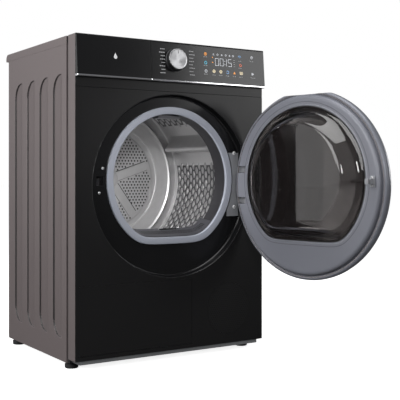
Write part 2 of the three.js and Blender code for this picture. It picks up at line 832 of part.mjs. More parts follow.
function fanWheel() {
  const y1 = FAN_FRONT + FAN_DEPTH;
  const blades = [...Array(BLADES).keys()].map((k) => {
    const blade = block(FAN_R - 17, FAN_R - 1, FAN_FRONT + 1, y1 - 1, -1, 1);
    return blade.rotateY((2 * Math.PI * k) / BLADES);
  });
  const disc = turned(ringProfile(6 + GAP, FAN_R, y1 - 2, y1), 0, 0, 32);
  const hub = turned(ringProfile(6 + GAP, 12, y1 - 16, y1 - 1), 0, 0, 16);
  const hoop = turned(ringProfile(FAN_R - 14, FAN_R, FAN_FRONT, FAN_FRONT + 2), 0, 0, 32);
  return join(disc, hub, hoop, ...blades);
}

function fanHousing() {
  const x = GRILLE_X;
  const z = GRILLE_Z;
  const wall = 3;
  const inner = FAN_R + 5;
  const y0 = FAN_FRONT - 4;
  const y1 = FAN_FRONT + FAN_DEPTH + 4;
  const drum = rod(inner + wall, x, z, y0 - wall, y1 + wall, 32);
  const outlet = block(x - inner - 34, x, y0 - wall, y1 + wall, z - inner - wall, z - inner + 32);
  const space = rod(inner, x, z, y0, y1, 32);
  const duct = block(x - inner - 40, x, y0, y1, z - inner, z - inner + 29);
  const inlet = rod(FAN_R - 14, x, z, y0 - 10, y0 + 1, 32);
  const back = rod(14, x, z, y1 - 1, y1 + 10, 24);
  return cut(join(drum, outlet), space, duct, inlet, back);
}

// An open belt round two circles: the big one on the drum, the small one on the pulley.
function beltLoop(grow) {
  const facet = Math.cos(Math.PI / (2.8 * BELT_STEPS));
  const big = (DRUM_R + GAP) / facet + grow;
  const small = (PULLEY_R + GAP) / facet + grow;
  const span = Math.hypot(GRILLE_X, DRUM_Z - GRILLE_Z);
  const aim = Math.atan2(GRILLE_Z - DRUM_Z, GRILLE_X);
  const wrap = Math.acos((big - small) / span);
  const loop = new THREE.Shape();
  loop.absarc(0, DRUM_Z, big, aim + wrap, aim - wrap + 2 * Math.PI, false);
  loop.absarc(GRILLE_X, GRILLE_Z, small, aim - wrap, aim + wrap, false);
  return loop;
}

function driveBelt() {
  const y0 = BELT_Y - BELT_WIDTH / 2;
  const outer = plate(beltLoop(BELT), y0, y0 + BELT_WIDTH, BELT_STEPS);
  const inner = plate(beltLoop(0), y0 - 1, y0 + BELT_WIDTH + 1, BELT_STEPS);
  return cut(outer, inner);
}

// ======== heat pump ========

function compressor() {
  const r = COMPRESSOR_R;
  const top = LOW + COMPRESSOR_HEIGHT;
  const can = new THREE.LatheGeometry([
    [0, LOW + 4],
    [r - 8, LOW + 4],
    [r, LOW + 14],
    [r, top - 24],
    [r - 10, top - 8],
    [r - 28, top],
    [0, top],
  ].map(([radius, z]) => new THREE.Vector2(radius, z)), 24);
  const y = BELT_Y + BELT_WIDTH + 18 + r;
  can.rotateX(Math.PI / 2).translate(GRILLE_X, y, 0);
  const foot = block(GRILLE_X - r, GRILLE_X + r, y - r + 4, y + r - 4, LOW, LOW + 5);
  return join(can, foot);
}

function finnedBlock(y0, y1) {
  const x0 = -HALF + 35;
  const fins = 8;
  const pitch = EXCHANGER_WIDTH / fins;
  const top = LOW + 30 + EXCHANGER_HEIGHT;
  const core = block(x0, x0 + EXCHANGER_WIDTH, y0 + 12, y1 - 12, LOW, top);
  const plates = [...Array(fins).keys()].map((k) => {
    const x = x0 + (k + 0.5) * pitch;
    return block(x - 3, x + 3, y0, y1, LOW, top - 6);
  });
  return join(core, ...plates);
}

function exchangerCover() {
  const x0 = FLAP_X + 12;
  const x1 = FLAP_X + FLAP_WIDTH - 10;
  const cover = block(x0, x1, 30, 36, FLAP_BOTTOM + 9, FLAP_BOTTOM + FLAP_HEIGHT - 6);
  const rim = block(x0 + 20, x1 - 20, 26, 31, FLAP_BOTTOM + 40, FLAP_BOTTOM + FLAP_HEIGHT - 40);
  const holes = leverPlaces().map(([, x, z]) => rod(5 + GAP, x, z, 20, 45, 16));
  const cleared = leverPlaces().map(([, x, z]) => rod(LEVER / 2 + 4, x, z, 20, 30, 32));
  return cut(join(cover, rim), ...holes, ...cleared);
}

function leverPlaces() {
  const z = FLAP_BOTTOM + FLAP_HEIGHT / 2;
  return [['left', FLAP_X + 48, z], ['right', FLAP_X + FLAP_WIDTH - 46, z]];
}

function coverLever() {
  const bar = block(-7, 7, 18, 25, -LEVER / 2, LEVER / 2);
  const boss = rod(12, 0, 0, 18, 29.7, 20);
  const stub = rod(5, 0, 0, 20, 40, 16);
  return join(bar, boss, stub);
}

// ======== lint filter ========

// Sloping perforated cover across the foot of the mouth, with the lint pocket that hangs below it.
function lintFilter() {
  const start = RECESS_BACK + 1.5;
  const end = DRUM_FRONT - 6;
  const cover = skin([
    flatRound(MOUTH_R - GAP, MOUTH_FLAT - GAP, start, MOUTH_Z),
    flatRound(MOUTH_R - 11, MOUTH_FLAT - 22, end, MOUTH_Z),
    flatRound(MOUTH_R - 14, MOUTH_FLAT - 25, end, MOUTH_Z),
    flatRound(MOUTH_R - 3.5, MOUTH_FLAT - 3.5, start, MOUTH_Z),
  ], true);
  const low = block(-MOUTH_R, MOUTH_R, 0, DRUM_FRONT, 0, MOUTH_Z - 0.68 * MOUTH_FLAT);
  const half = FILTER_WIDTH / 2;
  const y0 = FILTER_Y - FILTER_THICK / 2;
  const y1 = FILTER_Y + FILTER_THICK / 2;
  const top = MOUTH_Z - MOUTH_FLAT + 13;
  const cassette = block(-half, half, y0, y1, top - 12 - FILTER_DEPTH, top);
  const pocket = block(-half + 3, half - 3, y0 + 3, y1 - 3, top - 9 - FILTER_DEPTH, top + 40);
  const grip = block(-16, 44, end - 8, end + 5, MOUTH_Z - MOUTH_FLAT, MOUTH_Z - MOUTH_FLAT + 60);
  return cut(join(keep(cover, low), cassette), pocket, grip);
}

function filterHousing() {
  const half = FILTER_WIDTH / 2 + 4.5;
  const y0 = FILTER_Y - FILTER_THICK / 2 - 4.5;
  const y1 = FILTER_Y + FILTER_THICK / 2 + 4.5;
  const top = MOUTH_Z - MOUTH_FLAT - COLLAR_WALL - 1.5;
  const bottom = MOUTH_Z - MOUTH_FLAT - FILTER_DEPTH - 3;
  const box = block(-half, half, y0, y1, bottom, top);
  return cut(box, block(-half + 3, half - 3, y0 + 3, y1 - 3, bottom + 3, top + 1));
}

function lampLens() {
  const top = MOUTH_Z + Math.sqrt(MOUTH_R ** 2 - 36 ** 2) - 0.8;
  const y0 = RECESS_BACK + 8;
  const body = block(-35, 35, y0, y0 + 30, top - 7, top);
  return cut(body, block(-31, 31, y0 + 4, y0 + 26, top - 4, top + 1));
}

// ======== latch and hinge on the cabinet ========

function latchHousing() {
  const y0 = RECESS_BACK + GAP;
  const w = LATCH_WIDTH / 2;
  const h = LATCH_HEIGHT / 2;
  const box = block(LATCH_X - w - 4, LATCH_X + w + 4, y0, y0 + 24, LATCH_Z - h - 8, LATCH_Z + h + 8);
  return cut(box, block(LATCH_X - w, LATCH_X + w, y0 - 1, y0 + 20, LATCH_Z - h, LATCH_Z + h));
}

function knuckleHeights() {
  return [HINGE_Z + HINGE_SPREAD / 2, HINGE_Z - HINGE_SPREAD / 2];
}

function hingeLug(z) {
  const reach = 6.5;
  const aim = 110;
  const turn = Math.PI / 180;
  const lug = new THREE.Shape();
  lug.moveTo(HINGE_X - 20, RECESS_DEPTH - 2);
  lug.absarc(HINGE_X, HINGE_Y, reach, (aim + 90) * turn, (aim + 270) * turn, false);
  lug.lineTo(HINGE_X - 5, RECESS_DEPTH - 2);
  return slab(lug, z - LUG / 2, z + LUG / 2);
}

function hingeBracket() {
  const y0 = RECESS_DEPTH - 3.5;
  const y1 = RECESS_DEPTH - GAP;
  const half = HINGE_SPREAD / 2 + 59;
  const base = block(HINGE_X - 42, HINGE_X - 2, y0, y1, HINGE_Z + 13 - half, HINGE_Z + half - 11);
  const round = rod(MOUTH_R + RING_WIDTH + 4, 0, MOUTH_Z, y0 - 5, y1 + 5, 64);
  const lugs = knuckleHeights().map(hingeLug);
  const bore = post(PIN_R + GAP, HINGE_X, HINGE_Y, HINGE_Z - HINGE_SPREAD, HINGE_Z + HINGE_SPREAD);
  return cut(join(cut(base, round), ...lugs), bore);
}

function hingePin() {
  const half = HINGE_SPREAD / 2 + LUG / 2 + 1;
  return post(PIN_R, HINGE_X, HINGE_Y, HINGE_Z - half, HINGE_Z + half);
}

// ======== door, drawn closed ========

function doorNotches() {
  return knuckleHeights().map((z) => block(
    HINGE_X - 19,
    HINGE_X + 40,
    HINGE_Y - 9,
    DOOR_FACE_Y + 5,
    z - LUG / 2 - 1.5,
    z + LUG / 2 + 1.5,
  ));
}

function roundLoop(radius, y) {
  return flatRound(radius, 1e6, y, DOOR_Z);
}

function windowLoop(grow, y) {
  return flatRound(WINDOW_R + grow, WINDOW_FLAT + grow, y, WINDOW_Z);
}

function doorInnerFrame() {
  const y = DOOR_FACE_Y;
  const ring = skin([
    windowLoop(0, y - 5),
    windowLoop(0, y - 1.5),
    windowLoop(1.5, y),
    roundLoop(DOOR_FACE_R - 8.5, y),
    roundLoop(DOOR_FACE_R - 3, y - 2),
    roundLoop(DOOR_FACE_R - 1, y - 6),
    roundLoop(DOOR_FACE_R, y - 13),
    windowLoop(8, y - 13),
  ], true);
  return cut(ring, ...doorNotches());
}

function doorBowl() {
  const r = WINDOW_R;
  const f = WINDOW_FLAT;
  const y = DOOR_FACE_Y;
  const deep = y + BOWL_DEPTH - 6;
  const row = (shrink, flatShrink, depth) => flatRound(r - shrink, f - flatShrink, depth, WINDOW_Z);
  return skin([
    row(47, 39, deep - 4),
    row(25, 23, y + 2),
    row(13, 12, y - 12),
    row(0.5, 2.4, y - 12),
    row(0.5, 2.4, y - 4),
    row(8, 10, y - 2),
    row(20.5, 19, y + 7),
    row(42, 34, deep - 2),
    row(49, 40, deep),
  ], false);
}

function rimCut() {
  return block(-400, 400, -100, 100, DOOR_Z + RIM_FLAT, DOOR_Z + 400);
}

function doorOuterFrame() {
  const back = DOOR_FACE_Y - 13 - GAP;
  const ring = skin([
    windowLoop(7, back),
    roundLoop(DOOR_FACE_R + 1.2, back),
    roundLoop(DOOR_FACE_R + 5, -4),
    roundLoop(RIM_R - 1.8, -6),
    roundLoop(RIM_R, -13),
    roundLoop(RIM_R - 0.6, -20),
    roundLoop(RIM_R - 2, -22),
    windowLoop(7, -22),
  ], true);
  const bore = post(PIN_R + GAP, HINGE_X, HINGE_Y, HINGE_Z - HINGE_SPREAD, HINGE_Z + HINGE_SPREAD);
  return cut(ring, rimCut(), bore, ...doorNotches());
}

function doorTrimRing() {
  const ring = turned([
    [GLASS_R - 8, -22 - GAP],
    [RIM_R - 2.3, -22 - GAP],
    [GLASS_R + 0.5, -27],
    [GLASS_R - 8, -27],
    [GLASS_R - 8, -22 - GAP],
  ], 0, DOOR_Z, OUTLINE_SIDES);
  return cut(ring, rimCut());
}

function doorGlass() {
  const disc = turned([
    [0, -27 - GAP],
    [GLASS_R, -27 - GAP],
    [GLASS_R - 0.8, -31],
    [GLASS_R - 5, -34],
    [200, -36],
    [100, -37.2],
    [0, -37.6],
  ], 0, DOOR_Z, OUTLINE_SIDES);
  return cut(disc, rimCut());
}

function doorHook() {
  const y0 = DOOR_FACE_Y + GAP;
  const stem = block(LATCH_X - 5, LATCH_X + 5, y0, 34, LATCH_Z - 7, LATCH_Z + 7);
  const foot = block(LATCH_X - 8, LATCH_X + 7, y0, y0 + 3, LATCH_Z - 14, LATCH_Z + 14);
  return cut(join(stem, foot), block(LATCH_X - 9, LATCH_X + 2, 22, 28, LATCH_Z - 8, LATCH_Z + 8));
}

// ======== feet and cord gland ========

function footPlaces() {
  const x = HALF - FOOT_INSET;
  return [
    ['front_left', -x, FOOT_FRONT_Y],
    ['front_right', x, FOOT_FRONT_Y],
    ['rear_left', -x, FOOT_REAR_Y],
    ['rear_right', x, FOOT_REAR_Y],
  ];
}

function foot(x, y) {
  const shape = new THREE.LatheGeometry([
    [0, 0],
    [FOOT_R - 2, 0],
    [FOOT_R, 2],
    [FOOT_R, FOOT_PAD - 3],
    [FOOT_R - 3, FOOT_PAD],
    [FOOT_STEM_R, FOOT_PAD],
    [FOOT_STEM_R, FOOT_STEM_TOP],
    [0, FOOT_STEM_TOP],
  ].map(([radius, z]) => new THREE.Vector2(radius, z)), 18);
  return shape.rotateX(Math.PI / 2).translate(x, y, 0);
}

function glandPlace() {
  return [HALF - 55, 150];
}

function cordGland() {
  const [x, z] = glandPlace();
  const y = SIDE_DEPTH - 3;
  const neck = GLAND_R - 3;
  return turned([
    [GLAND_BORE_R, y - 6],
    [neck, y - 6],
    [neck, y + SHEET + GAP],
    [GLAND_R, y + SHEET + GAP],
    [GLAND_R - 2, y + SHEET + 4],
    [GLAND_BORE_R, y + SHEET + 9],
    [GLAND_BORE_R, y - 6],
  ], x, z, 20);
}

// ======== assembly ========

function cabinet() {
  const group = new THREE.Group();
  group.add(
    piece('base_tray', baseTray(), 'zinc'),
    piece('side_panel_left', sidePanel(-1), 'graphite'),
    piece('side_panel_right', sidePanel(1), 'graphite'),
    piece('rear_panel', rearPanel(), 'zinc'),
    piece('top_cover', topCover(), 'graphite'),
    piece('seam_frame', seamFrame(), 'matte'),
    piece('front_panel', frontPanel(), 'black'),
    piece('recess_bezel', recessBezel(), 'black'),
    piece('opening_ring', openingRing(), 'ring'),
    piece('vent_grille', rod(GRILLE_R, GRILLE_X, GRILLE_Z, 0, PANEL, 64), 'black'),
    piece('console_housing', consoleHousing(), 'black'),
    piece('console_fascia', consoleFascia(), 'black'),
    piece('chrome_strip_right', chromeStrip(SPLIT_X + 1, HALF), 'chrome'),
    piece('control_board', controlBoard(), 'grey'),
    piece('tank_channel', tankChannel(), 'grey'),
    piece('front_bulkhead', frontBulkhead(), 'matte'),
    piece('rear_bulkhead', rearBulkhead(), 'zinc'),
    piece('rear_bearing', rearBearing(), 'steel'),
    piece('motor_body', motorBody(), 'zinc'),
    piece('fan_housing', fanHousing(), 'grey'),
    piece('drive_belt', driveBelt(), 'rubber'),
    piece('compressor', compressor(), 'matte'),
    piece('evaporator', finnedBlock(70, 150), 'copper'),
    piece('condenser', finnedBlock(160, 285), 'copper'),
    piece('exchanger_cover', exchangerCover(), 'grey'),
    piece('filter_housing', filterHousing(), 'grey'),
    piece('lamp_lens', lampLens(), 'smoked'),
    piece('latch_housing', latchHousing(), 'matte'),
    piece('hinge_bracket', hingeBracket(), 'steel'),
    piece('hinge_pin', hingePin(), 'steel'),
    piece('cord_gland', cordGland(), 'rubber'),
  );
  return group;
}

function waterDrawer() {
  const group = new THREE.Group();
  group.add(
    piece('drawer_front', consoleFront(-HALF, SPLIT_X), 'black'),
    piece('chrome_strip_left', chromeStrip(-HALF, SPLIT_X), 'chrome'),
    piece('water_tank', waterTank(), 'grey'),
    piece('tank_lid', tankLid(), 'grey'),
  );
  return group;
}

function programmeKnob() {
  const mesh = piece('programme_knob', knob(), 'steel');
  mesh.position.set(KNOB_X, knobPlane(), KNOB_Z);
  mesh.rotation.x = Math.PI - LEAN;
  return mesh;
}

function drum() {
  const group = new THREE.Group();
  group.add(
    piece('drum_shell', drumShell(), 'steel'),
    piece('drum_back', drumBack(), 'steel'),
    piece('drum_shaft', drumShaft(), 'steel'),
  );
  for (let index = 0; index < LIFTERS; index += 1) {
    group.add(piece(`drum_lifter_${index + 1}`, drumLifter(index), 'steel'));
  }
  group.position.set(0, 0, DRUM_Z);
  return group;
}

function motorRotor() {
  const group = new THREE.Group();
  group.add(
    piece('motor_pulley', motorPulley(), 'steel'),
    piece('fan_wheel', fanWheel(), 'grey'),
  );
  group.position.set(GRILLE_X, 0, GRILLE_Z);
  return group;
}

function flap() {
  const x1 = FLAP_X + FLAP_WIDTH;
  return piece('service_flap', block(FLAP_X, x1, 0, PANEL, FLAP_BOTTOM, FLAP_BOTTOM + FLAP_HEIGHT), 'black');
}

function door() {
  const leaf = new THREE.Group();
  leaf.add(
    piece('door_inner_frame', doorInnerFrame(), 'satin'),
    piece('door_bowl', doorBowl(), 'smoked'),
    piece('door_outer_frame', doorOuterFrame(), 'satin'),
    piece('door_trim_ring', doorTrimRing(), 'chrome'),
    piece('door_glass', doorGlass(), 'smoked'),
    piece('door_hook', doorHook(), 'steel'),
  );
  leaf.position.set(-HINGE_X, -HINGE_Y, 0);
  const hinge = new THREE.Group();
  hinge.add(leaf);
  hinge.position.set(HINGE_X, HINGE_Y, 0);
  hinge.rotation.z = (DOOR_OPEN * Math.PI) / 180;
  return hinge;
}

const dryer = new THREE.Group();
dryer.add(cabinet(), waterDrawer(), programmeKnob(), drum(), motorRotor(), flap(), door());
dryer.add(piece('lint_filter', lintFilter(), 'grey'));
for (const [side, x, z] of rollerPlaces()) {
  const roller = piece(`support_roller_${side}`, supportRoller(), 'rubber');
  roller.position.set(x, 0, z);
  dryer.add(roller);
}
for (const [side, x, z] of leverPlaces()) {
  const lever = piece(`cover_lever_${side}`, coverLever(), 'grey');
  lever.position.set(x, 0, z);
  dryer.add(lever);
}
for (const [corner, x, y] of footPlaces()) {
  dryer.add(piece(`foot_${corner}`, foot(x, y), 'rubber'));
}

// The origin is the middle of the footprint, on the floor.
dryer.updateMatrixWorld(true);
const middle = new THREE.Box3().setFromObject(dryer, true).getCenter(new THREE.Vector3());
const object = new THREE.Group();
object.add(dryer);
dryer.position.set(-middle.x, -middle.y, 0);

export default object;
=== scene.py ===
"""Looks for the front-loading clothes dryer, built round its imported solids.

Sizes are in millimetres, measured from the middle of the cabinet's flat front at floor
level, with the loading mouth facing -Y. piece() turns them into the frame's metres.
"""

import json
import math

import bmesh
import bpy
from mathutils import Matrix, Vector


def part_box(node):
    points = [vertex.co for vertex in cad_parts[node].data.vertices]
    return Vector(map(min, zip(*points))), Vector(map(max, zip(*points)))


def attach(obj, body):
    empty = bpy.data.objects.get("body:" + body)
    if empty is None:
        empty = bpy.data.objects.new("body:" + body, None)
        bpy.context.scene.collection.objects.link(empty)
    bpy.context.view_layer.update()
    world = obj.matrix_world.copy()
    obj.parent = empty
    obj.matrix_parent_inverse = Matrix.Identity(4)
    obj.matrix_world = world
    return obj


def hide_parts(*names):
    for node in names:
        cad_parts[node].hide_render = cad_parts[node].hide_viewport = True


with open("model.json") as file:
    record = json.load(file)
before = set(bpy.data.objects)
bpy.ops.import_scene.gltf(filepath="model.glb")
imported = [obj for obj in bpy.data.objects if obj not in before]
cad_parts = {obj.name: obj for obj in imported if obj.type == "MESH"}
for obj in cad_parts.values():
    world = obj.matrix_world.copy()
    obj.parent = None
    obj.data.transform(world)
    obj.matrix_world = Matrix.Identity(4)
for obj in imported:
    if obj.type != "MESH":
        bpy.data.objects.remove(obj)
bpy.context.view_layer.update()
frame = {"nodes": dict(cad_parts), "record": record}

MM = 0.001
panel_low, panel_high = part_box("front_panel")
ORIGIN = Vector(((panel_low.x + panel_high.x) / 2, panel_low.y, 0.0))

# ---- sizes shared with the solids ----
HALF_WIDTH = 297.5
TOP = 870.0
FRAME_DEPTH = 44.0
BODY_FRONT = 55.3
SIDE_DEPTH = 475.0
SIDE_FOOT = 18.0
SIDE_HEAD = 848.7
RECESS_Z = 477.0
RECESS_RADIUS = 251.0
RECESS_FLOOR_RADIUS = 245.0
RECESS_DEPTH = 20.0
MOUTH_Z = 494.5
MOUTH_RADIUS = 180.5
MOUTH_FLAT = 158.5
RING_WIDTH = 19.5
RING_FRONT = 14.0
RING_SEAT = 19.7
RING_REAR = 22.5
DRUM_Z = 495.0
DRUM_RADIUS = 250.0
DRUM_FRONT = 76.0
DRUM_END = 402.0
DRUM_BACK = 392.0
LIP_RADIUS = 208.0
BACK_RADIUS = 221.5
CONSOLE_Z = 765.0
CONSOLE_LIP = 14.0
CONSOLE_BROW = 6.3
LEAN = math.atan((CONSOLE_LIP - CONSOLE_BROW) / 105.0)
SPLIT_X = -81.5
KNOB_X, KNOB_Z = -6.0, 820.0
GRILLE_X, GRILLE_Z, GRILLE_RADIUS = 179.0, 128.0, 73.0
DOOR_Z = 480.5
DOOR_FACE = 6.0
DOOR_FACE_RADIUS = 240.5
RIM_RADIUS = 254.3
RIM_FLAT = 241.8
GLASS_RADIUS = 250.5
WINDOW_Z = 493.0
WINDOW_RADIUS = 197.0
WINDOW_FLAT = 160.4
HINGE = Vector((226.0, -15.5, 479.0))
DOOR_OPEN = math.radians(101.8)
LATCH_X, LATCH_Z = -219.0, 491.0
KNUCKLES = (523.0, 435.0)
SMOOTH_STEPS = 144
CORNER_SHARPNESS = 26
NO_FLAT = 1e6
MERGE = 0.005
EDGE_ANGLE = 32


# ======== node groups ========

def socketed_group(name, inputs, outputs):
    group = bpy.data.node_groups.new(name, "ShaderNodeTree")
    for socket, kind, value in inputs:
        made = group.interface.new_socket(socket, in_out="INPUT", socket_type=kind)
        made.default_value = value
    for socket, kind in outputs:
        group.interface.new_socket(socket, in_out="OUTPUT", socket_type=kind)
    return group, group.nodes.new("NodeGroupInput"), group.nodes.new("NodeGroupOutput")


def add_relief(group_parts, noise, strength, distance):
    """Turns a noise into the group's bump, as strong as the named input says."""
    nodes, link, ins, outs = group_parts
    bump = nodes.new("ShaderNodeBump")
    bump.inputs["Distance"].default_value = distance
    link(ins.outputs[strength], bump.inputs["Strength"])
    link(noise, bump.inputs["Height"])
    link(bump.outputs["Normal"], outs.inputs["Normal"])


def add_variation(group_parts, noise, tint_share, gloss_share):
    """Shifts the group's tint and gloss with a noise, each by the share its named input gives."""
    nodes, link, ins, outs = group_parts
    centred = nodes.new("ShaderNodeMath")
    centred.operation = "SUBTRACT"
    centred.inputs[1].default_value = 0.5
    link(noise, centred.inputs[0])
    shade = nodes.new("ShaderNodeMath")
    shade.operation = "MULTIPLY_ADD"
    shade.inputs[2].default_value = 1.0
    link(centred.outputs[0], shade.inputs[0])
    link(ins.outputs[tint_share], shade.inputs[1])
    tinted = nodes.new("ShaderNodeVectorMath")
    tinted.operation = "SCALE"
    link(ins.outputs["Tint"], tinted.inputs[0])
    link(shade.outputs[0], tinted.inputs["Scale"])
    gloss = nodes.new("ShaderNodeMath")
    gloss.operation = "MULTIPLY_ADD"
    link(centred.outputs[0], gloss.inputs[0])
    link(ins.outputs[gloss_share], gloss.inputs[1])
    link(ins.outputs["Gloss"], gloss.inputs[2])
    link(tinted.outputs[0], outs.inputs["Tint"])
    link(gloss.outputs[0], outs.inputs["Gloss"])


def noise_node(nodes, scale, detail):
    noise = nodes.new("ShaderNodeTexNoise")
    noise.inputs["Scale"].default_value = scale
    noise.inputs["Detail"].default_value = detail
    return noise


SURFACE_OUTPUTS = [("Tint", "NodeSocketColor"), ("Gloss", "NodeSocketFloat"), ("Normal", "NodeSocketVector")]


def moulded_grain():
    """Fine grain, faint mottling and a slight change of gloss, as on paint and mouldings."""
    group, ins, outs = socketed_group(
        "moulded_grain",
        [("Tint", "NodeSocketColor", (0.5, 0.5, 0.5, 1)), ("Gloss", "NodeSocketFloat", 0.4),
         ("Grain Size", "NodeSocketFloat", 900.0), ("Grain Height", "NodeSocketFloat", 0.1),
         ("Mottle", "NodeSocketFloat", 0.05), ("Gloss Change", "NodeSocketFloat", 0.06)],
        SURFACE_OUTPUTS)
    nodes, link = group.nodes, group.links.new
    coords = nodes.new("ShaderNodeTexCoord")
    fine = noise_node(nodes, 1, 3)
    broad = noise_node(nodes, 7, 4)
    link(coords.outputs["Object"], fine.inputs["Vector"])
    link(coords.outputs["Object"], broad.inputs["Vector"])
    link(ins.outputs["Grain Size"], fine.inputs["Scale"])
    group_parts = nodes, link, ins, outs
    add_relief(group_parts, fine.outputs["Fac"], "Grain Height", 0.0004)
    add_variation(group_parts, broad.outputs["Fac"], "Mottle", "Gloss Change")
    return group


def brushed_grain():
    """Long fine scratches along one direction, set by Stretch."""
    group, ins, outs = socketed_group(
        "brushed_grain",
        [("Tint", "NodeSocketColor", (0.5, 0.5, 0.5, 1)), ("Gloss", "NodeSocketFloat", 0.3),
         ("Stretch", "NodeSocketVector", (1, 1, 1)), ("Depth", "NodeSocketFloat", 0.2),
         ("Streak", "NodeSocketFloat", 0.2)],
        SURFACE_OUTPUTS)
    nodes, link = group.nodes, group.links.new
    coords = nodes.new("ShaderNodeTexCoord")
    stretched = nodes.new("ShaderNodeVectorMath")
    stretched.operation = "MULTIPLY"
    link(coords.outputs["Object"], stretched.inputs[0])
    link(ins.outputs["Stretch"], stretched.inputs[1])
    lines = noise_node(nodes, 1, 5)
    link(stretched.outputs[0], lines.inputs["Vector"])
    group_parts = nodes, link, ins, outs
    add_relief(group_parts, lines.outputs["Fac"], "Depth", 0.0003)
    add_variation(group_parts, lines.outputs["Fac"], "Streak", "Streak")
    return group


GRAIN = moulded_grain()
BRUSHED = brushed_grain()


# ======== finishes ========

def finish(name, tint, gloss, metallic=0.0, coat=0.0, transmission=0.0, glow=None, group=None,
           **settings):
    """One material: a Principled surface whose colour, gloss and relief come from a shared group."""
    material = bpy.data.materials.new(name)
    material.use_nodes = True
    nodes, link = material.node_tree.nodes, material.node_tree.links.new
    surface = nodes["Principled BSDF"]
    grain = nodes.new("ShaderNodeGroup")
    grain.node_tree = group or GRAIN
    grain.inputs["Tint"].default_value = (*tint, 1)
    grain.inputs["Gloss"].default_value = gloss
    for socket, value in settings.items():
        grain.inputs[socket.replace("_", " ").title()].default_value = value
    link(grain.outputs["Tint"], surface.inputs["Base Color"])
    link(grain.outputs["Gloss"], surface.inputs["Roughness"])
    link(grain.outputs["Normal"], surface.inputs["Normal"])
    surface.inputs["Metallic"].default_value = metallic
    surface.inputs["Coat Weight"].default_value = coat
    surface.inputs["Coat Roughness"].default_value = 0.12
    surface.inputs["Transmission Weight"].default_value = transmission
    if glow:
        surface.inputs["Emission Color"].default_value = (*tint, 1)
        surface.inputs["Emission Strength"].default_value = glow
    return material


FINISHES = {
    "graphite_paint": finish("graphite_enamel", (0.165, 0.138, 0.138), 0.42, metallic=0.3, mottle=0.04),
    "front_paint": finish("black_enamel", (0.008, 0.0078, 0.0082), 0.3, mottle=0.1, grain_height=0.04),
    "gloss_black": finish("gloss_black_moulding", (0.006, 0.006, 0.0065), 0.17, mottle=0.1,
                          grain_height=0.01),
    "black_moulding": finish("matt_black_moulding", (0.016, 0.0155, 0.018), 0.5, grain_height=0.3),
    "grey_moulding": finish("grey_moulding", (0.2, 0.2, 0.215), 0.5, grain_height=0.3),
    "filter_moulding": finish("lint_cover_moulding", (0.035, 0.035, 0.04), 0.5, grain_height=0.15),
    "pale_ring": finish("satin_blue_grey", (0.27, 0.285, 0.33), 0.36, grain_height=0.1),
    "door_satin": finish("satin_grey", (0.15, 0.155, 0.18), 0.38, metallic=0.1, grain_height=0.08),
    "smoked_bowl": finish("smoked_bowl", (0.7, 0.66, 0.65), 0.03, transmission=1.0, grain_height=0.0,
                          gloss_change=0.02),
    "smoked_glass": finish("smoked_glass", (0.011, 0.0095, 0.0095), 0.02, transmission=1.0, grain_height=0.0,
                           gloss_change=0.02),
    "lamp_lens": finish("frosted_lens", (0.1, 0.1, 0.11), 0.4, transmission=0.3),
    "chrome_trim": finish("bright_chrome", (0.8, 0.8, 0.82), 0.1, metallic=1.0, mottle=0.03,
                          grain_height=0.02),
    "knob_metal": finish("turned_aluminium", (0.45, 0.45, 0.46), 0.34, metallic=1.0, group=BRUSHED,
                         stretch=(60, 60, 900), depth=0.15, streak=0.15),
    "drum_steel": finish("drum_stainless", (0.55, 0.545, 0.55), 0.4, metallic=0.72, group=BRUSHED,
                         stretch=(40, 900, 40), depth=0.12, streak=0.18),
    "hinge_steel": finish("satin_steel", (0.24, 0.245, 0.26), 0.4, metallic=0.35, group=BRUSHED,
                          stretch=(900, 900, 60), depth=0.15, streak=0.12),
    "bearing_steel": finish("machined_steel", (0.55, 0.55, 0.56), 0.22, metallic=1.0, group=BRUSHED,
                            stretch=(60, 60, 1200), depth=0.1, streak=0.12),
    "galvanised_sheet": finish("zinc_sheet", (0.32, 0.33, 0.34), 0.42, metallic=0.75, mottle=0.4,
                               grain_size=140.0, grain_height=0.05),
    "cast_casing": finish("cast_aluminium", (0.4, 0.4, 0.41), 0.5, metallic=0.9, grain_size=400.0,
                          grain_height=0.5),
    "finned_aluminium": finish("bare_fins", (0.6, 0.6, 0.61), 0.35, metallic=1.0, group=BRUSHED,
                               stretch=(40, 40, 1200), depth=0.2, streak=0.2),
    "circuit_board": finish("board_lacquer", (0.03, 0.12, 0.06), 0.3),
    "belt_rubber": finish("ribbed_rubber", (0.014, 0.014, 0.014), 0.7, grain_height=0.4),
    "roller_rubber": finish("roller_rubber", (0.045, 0.045, 0.045), 0.7, grain_height=0.4),
    "foot_rubber": finish("foot_rubber", (0.014, 0.014, 0.015), 0.6, grain_height=0.5),
}
DARK_GROOVE = finish("dark_groove", (0.004, 0.004, 0.0042), 0.6)
DARK_HOLE = finish("hole_shadow", (0.0015, 0.0015, 0.0015), 0.9)
DRUM_HOLE = finish("drum_hole_shadow", (0.008, 0.008, 0.008), 0.7)
# Painted shade: the knob's aluminium darkened for its side and ridges, where shade falls.
KNOB_SIDE_SHADE = finish("aluminium_painted_shade", (0.075, 0.075, 0.078), 0.42, metallic=0.9, mottle=0.02)
KNOB_FACE = finish("turned_face", (0.5, 0.5, 0.51), 0.36, metallic=1.0, group=BRUSHED,
                   stretch=(300, 60, 300), depth=0.03, streak=0.1)
DRUM_RELIEF = finish("pressed_relief", (0.40, 0.395, 0.40), 0.36, metallic=0.6, group=BRUSHED,
                     stretch=(60, 500, 60), depth=0.1, streak=0.1)
# Painted shade: a dark sheet standing in for the shade in the hollows between the drum's bumps.
DRUM_HOLLOW_SHADE = finish("relief_hollows_painted_shade", (0.10, 0.10, 0.103), 0.45, metallic=0.5)
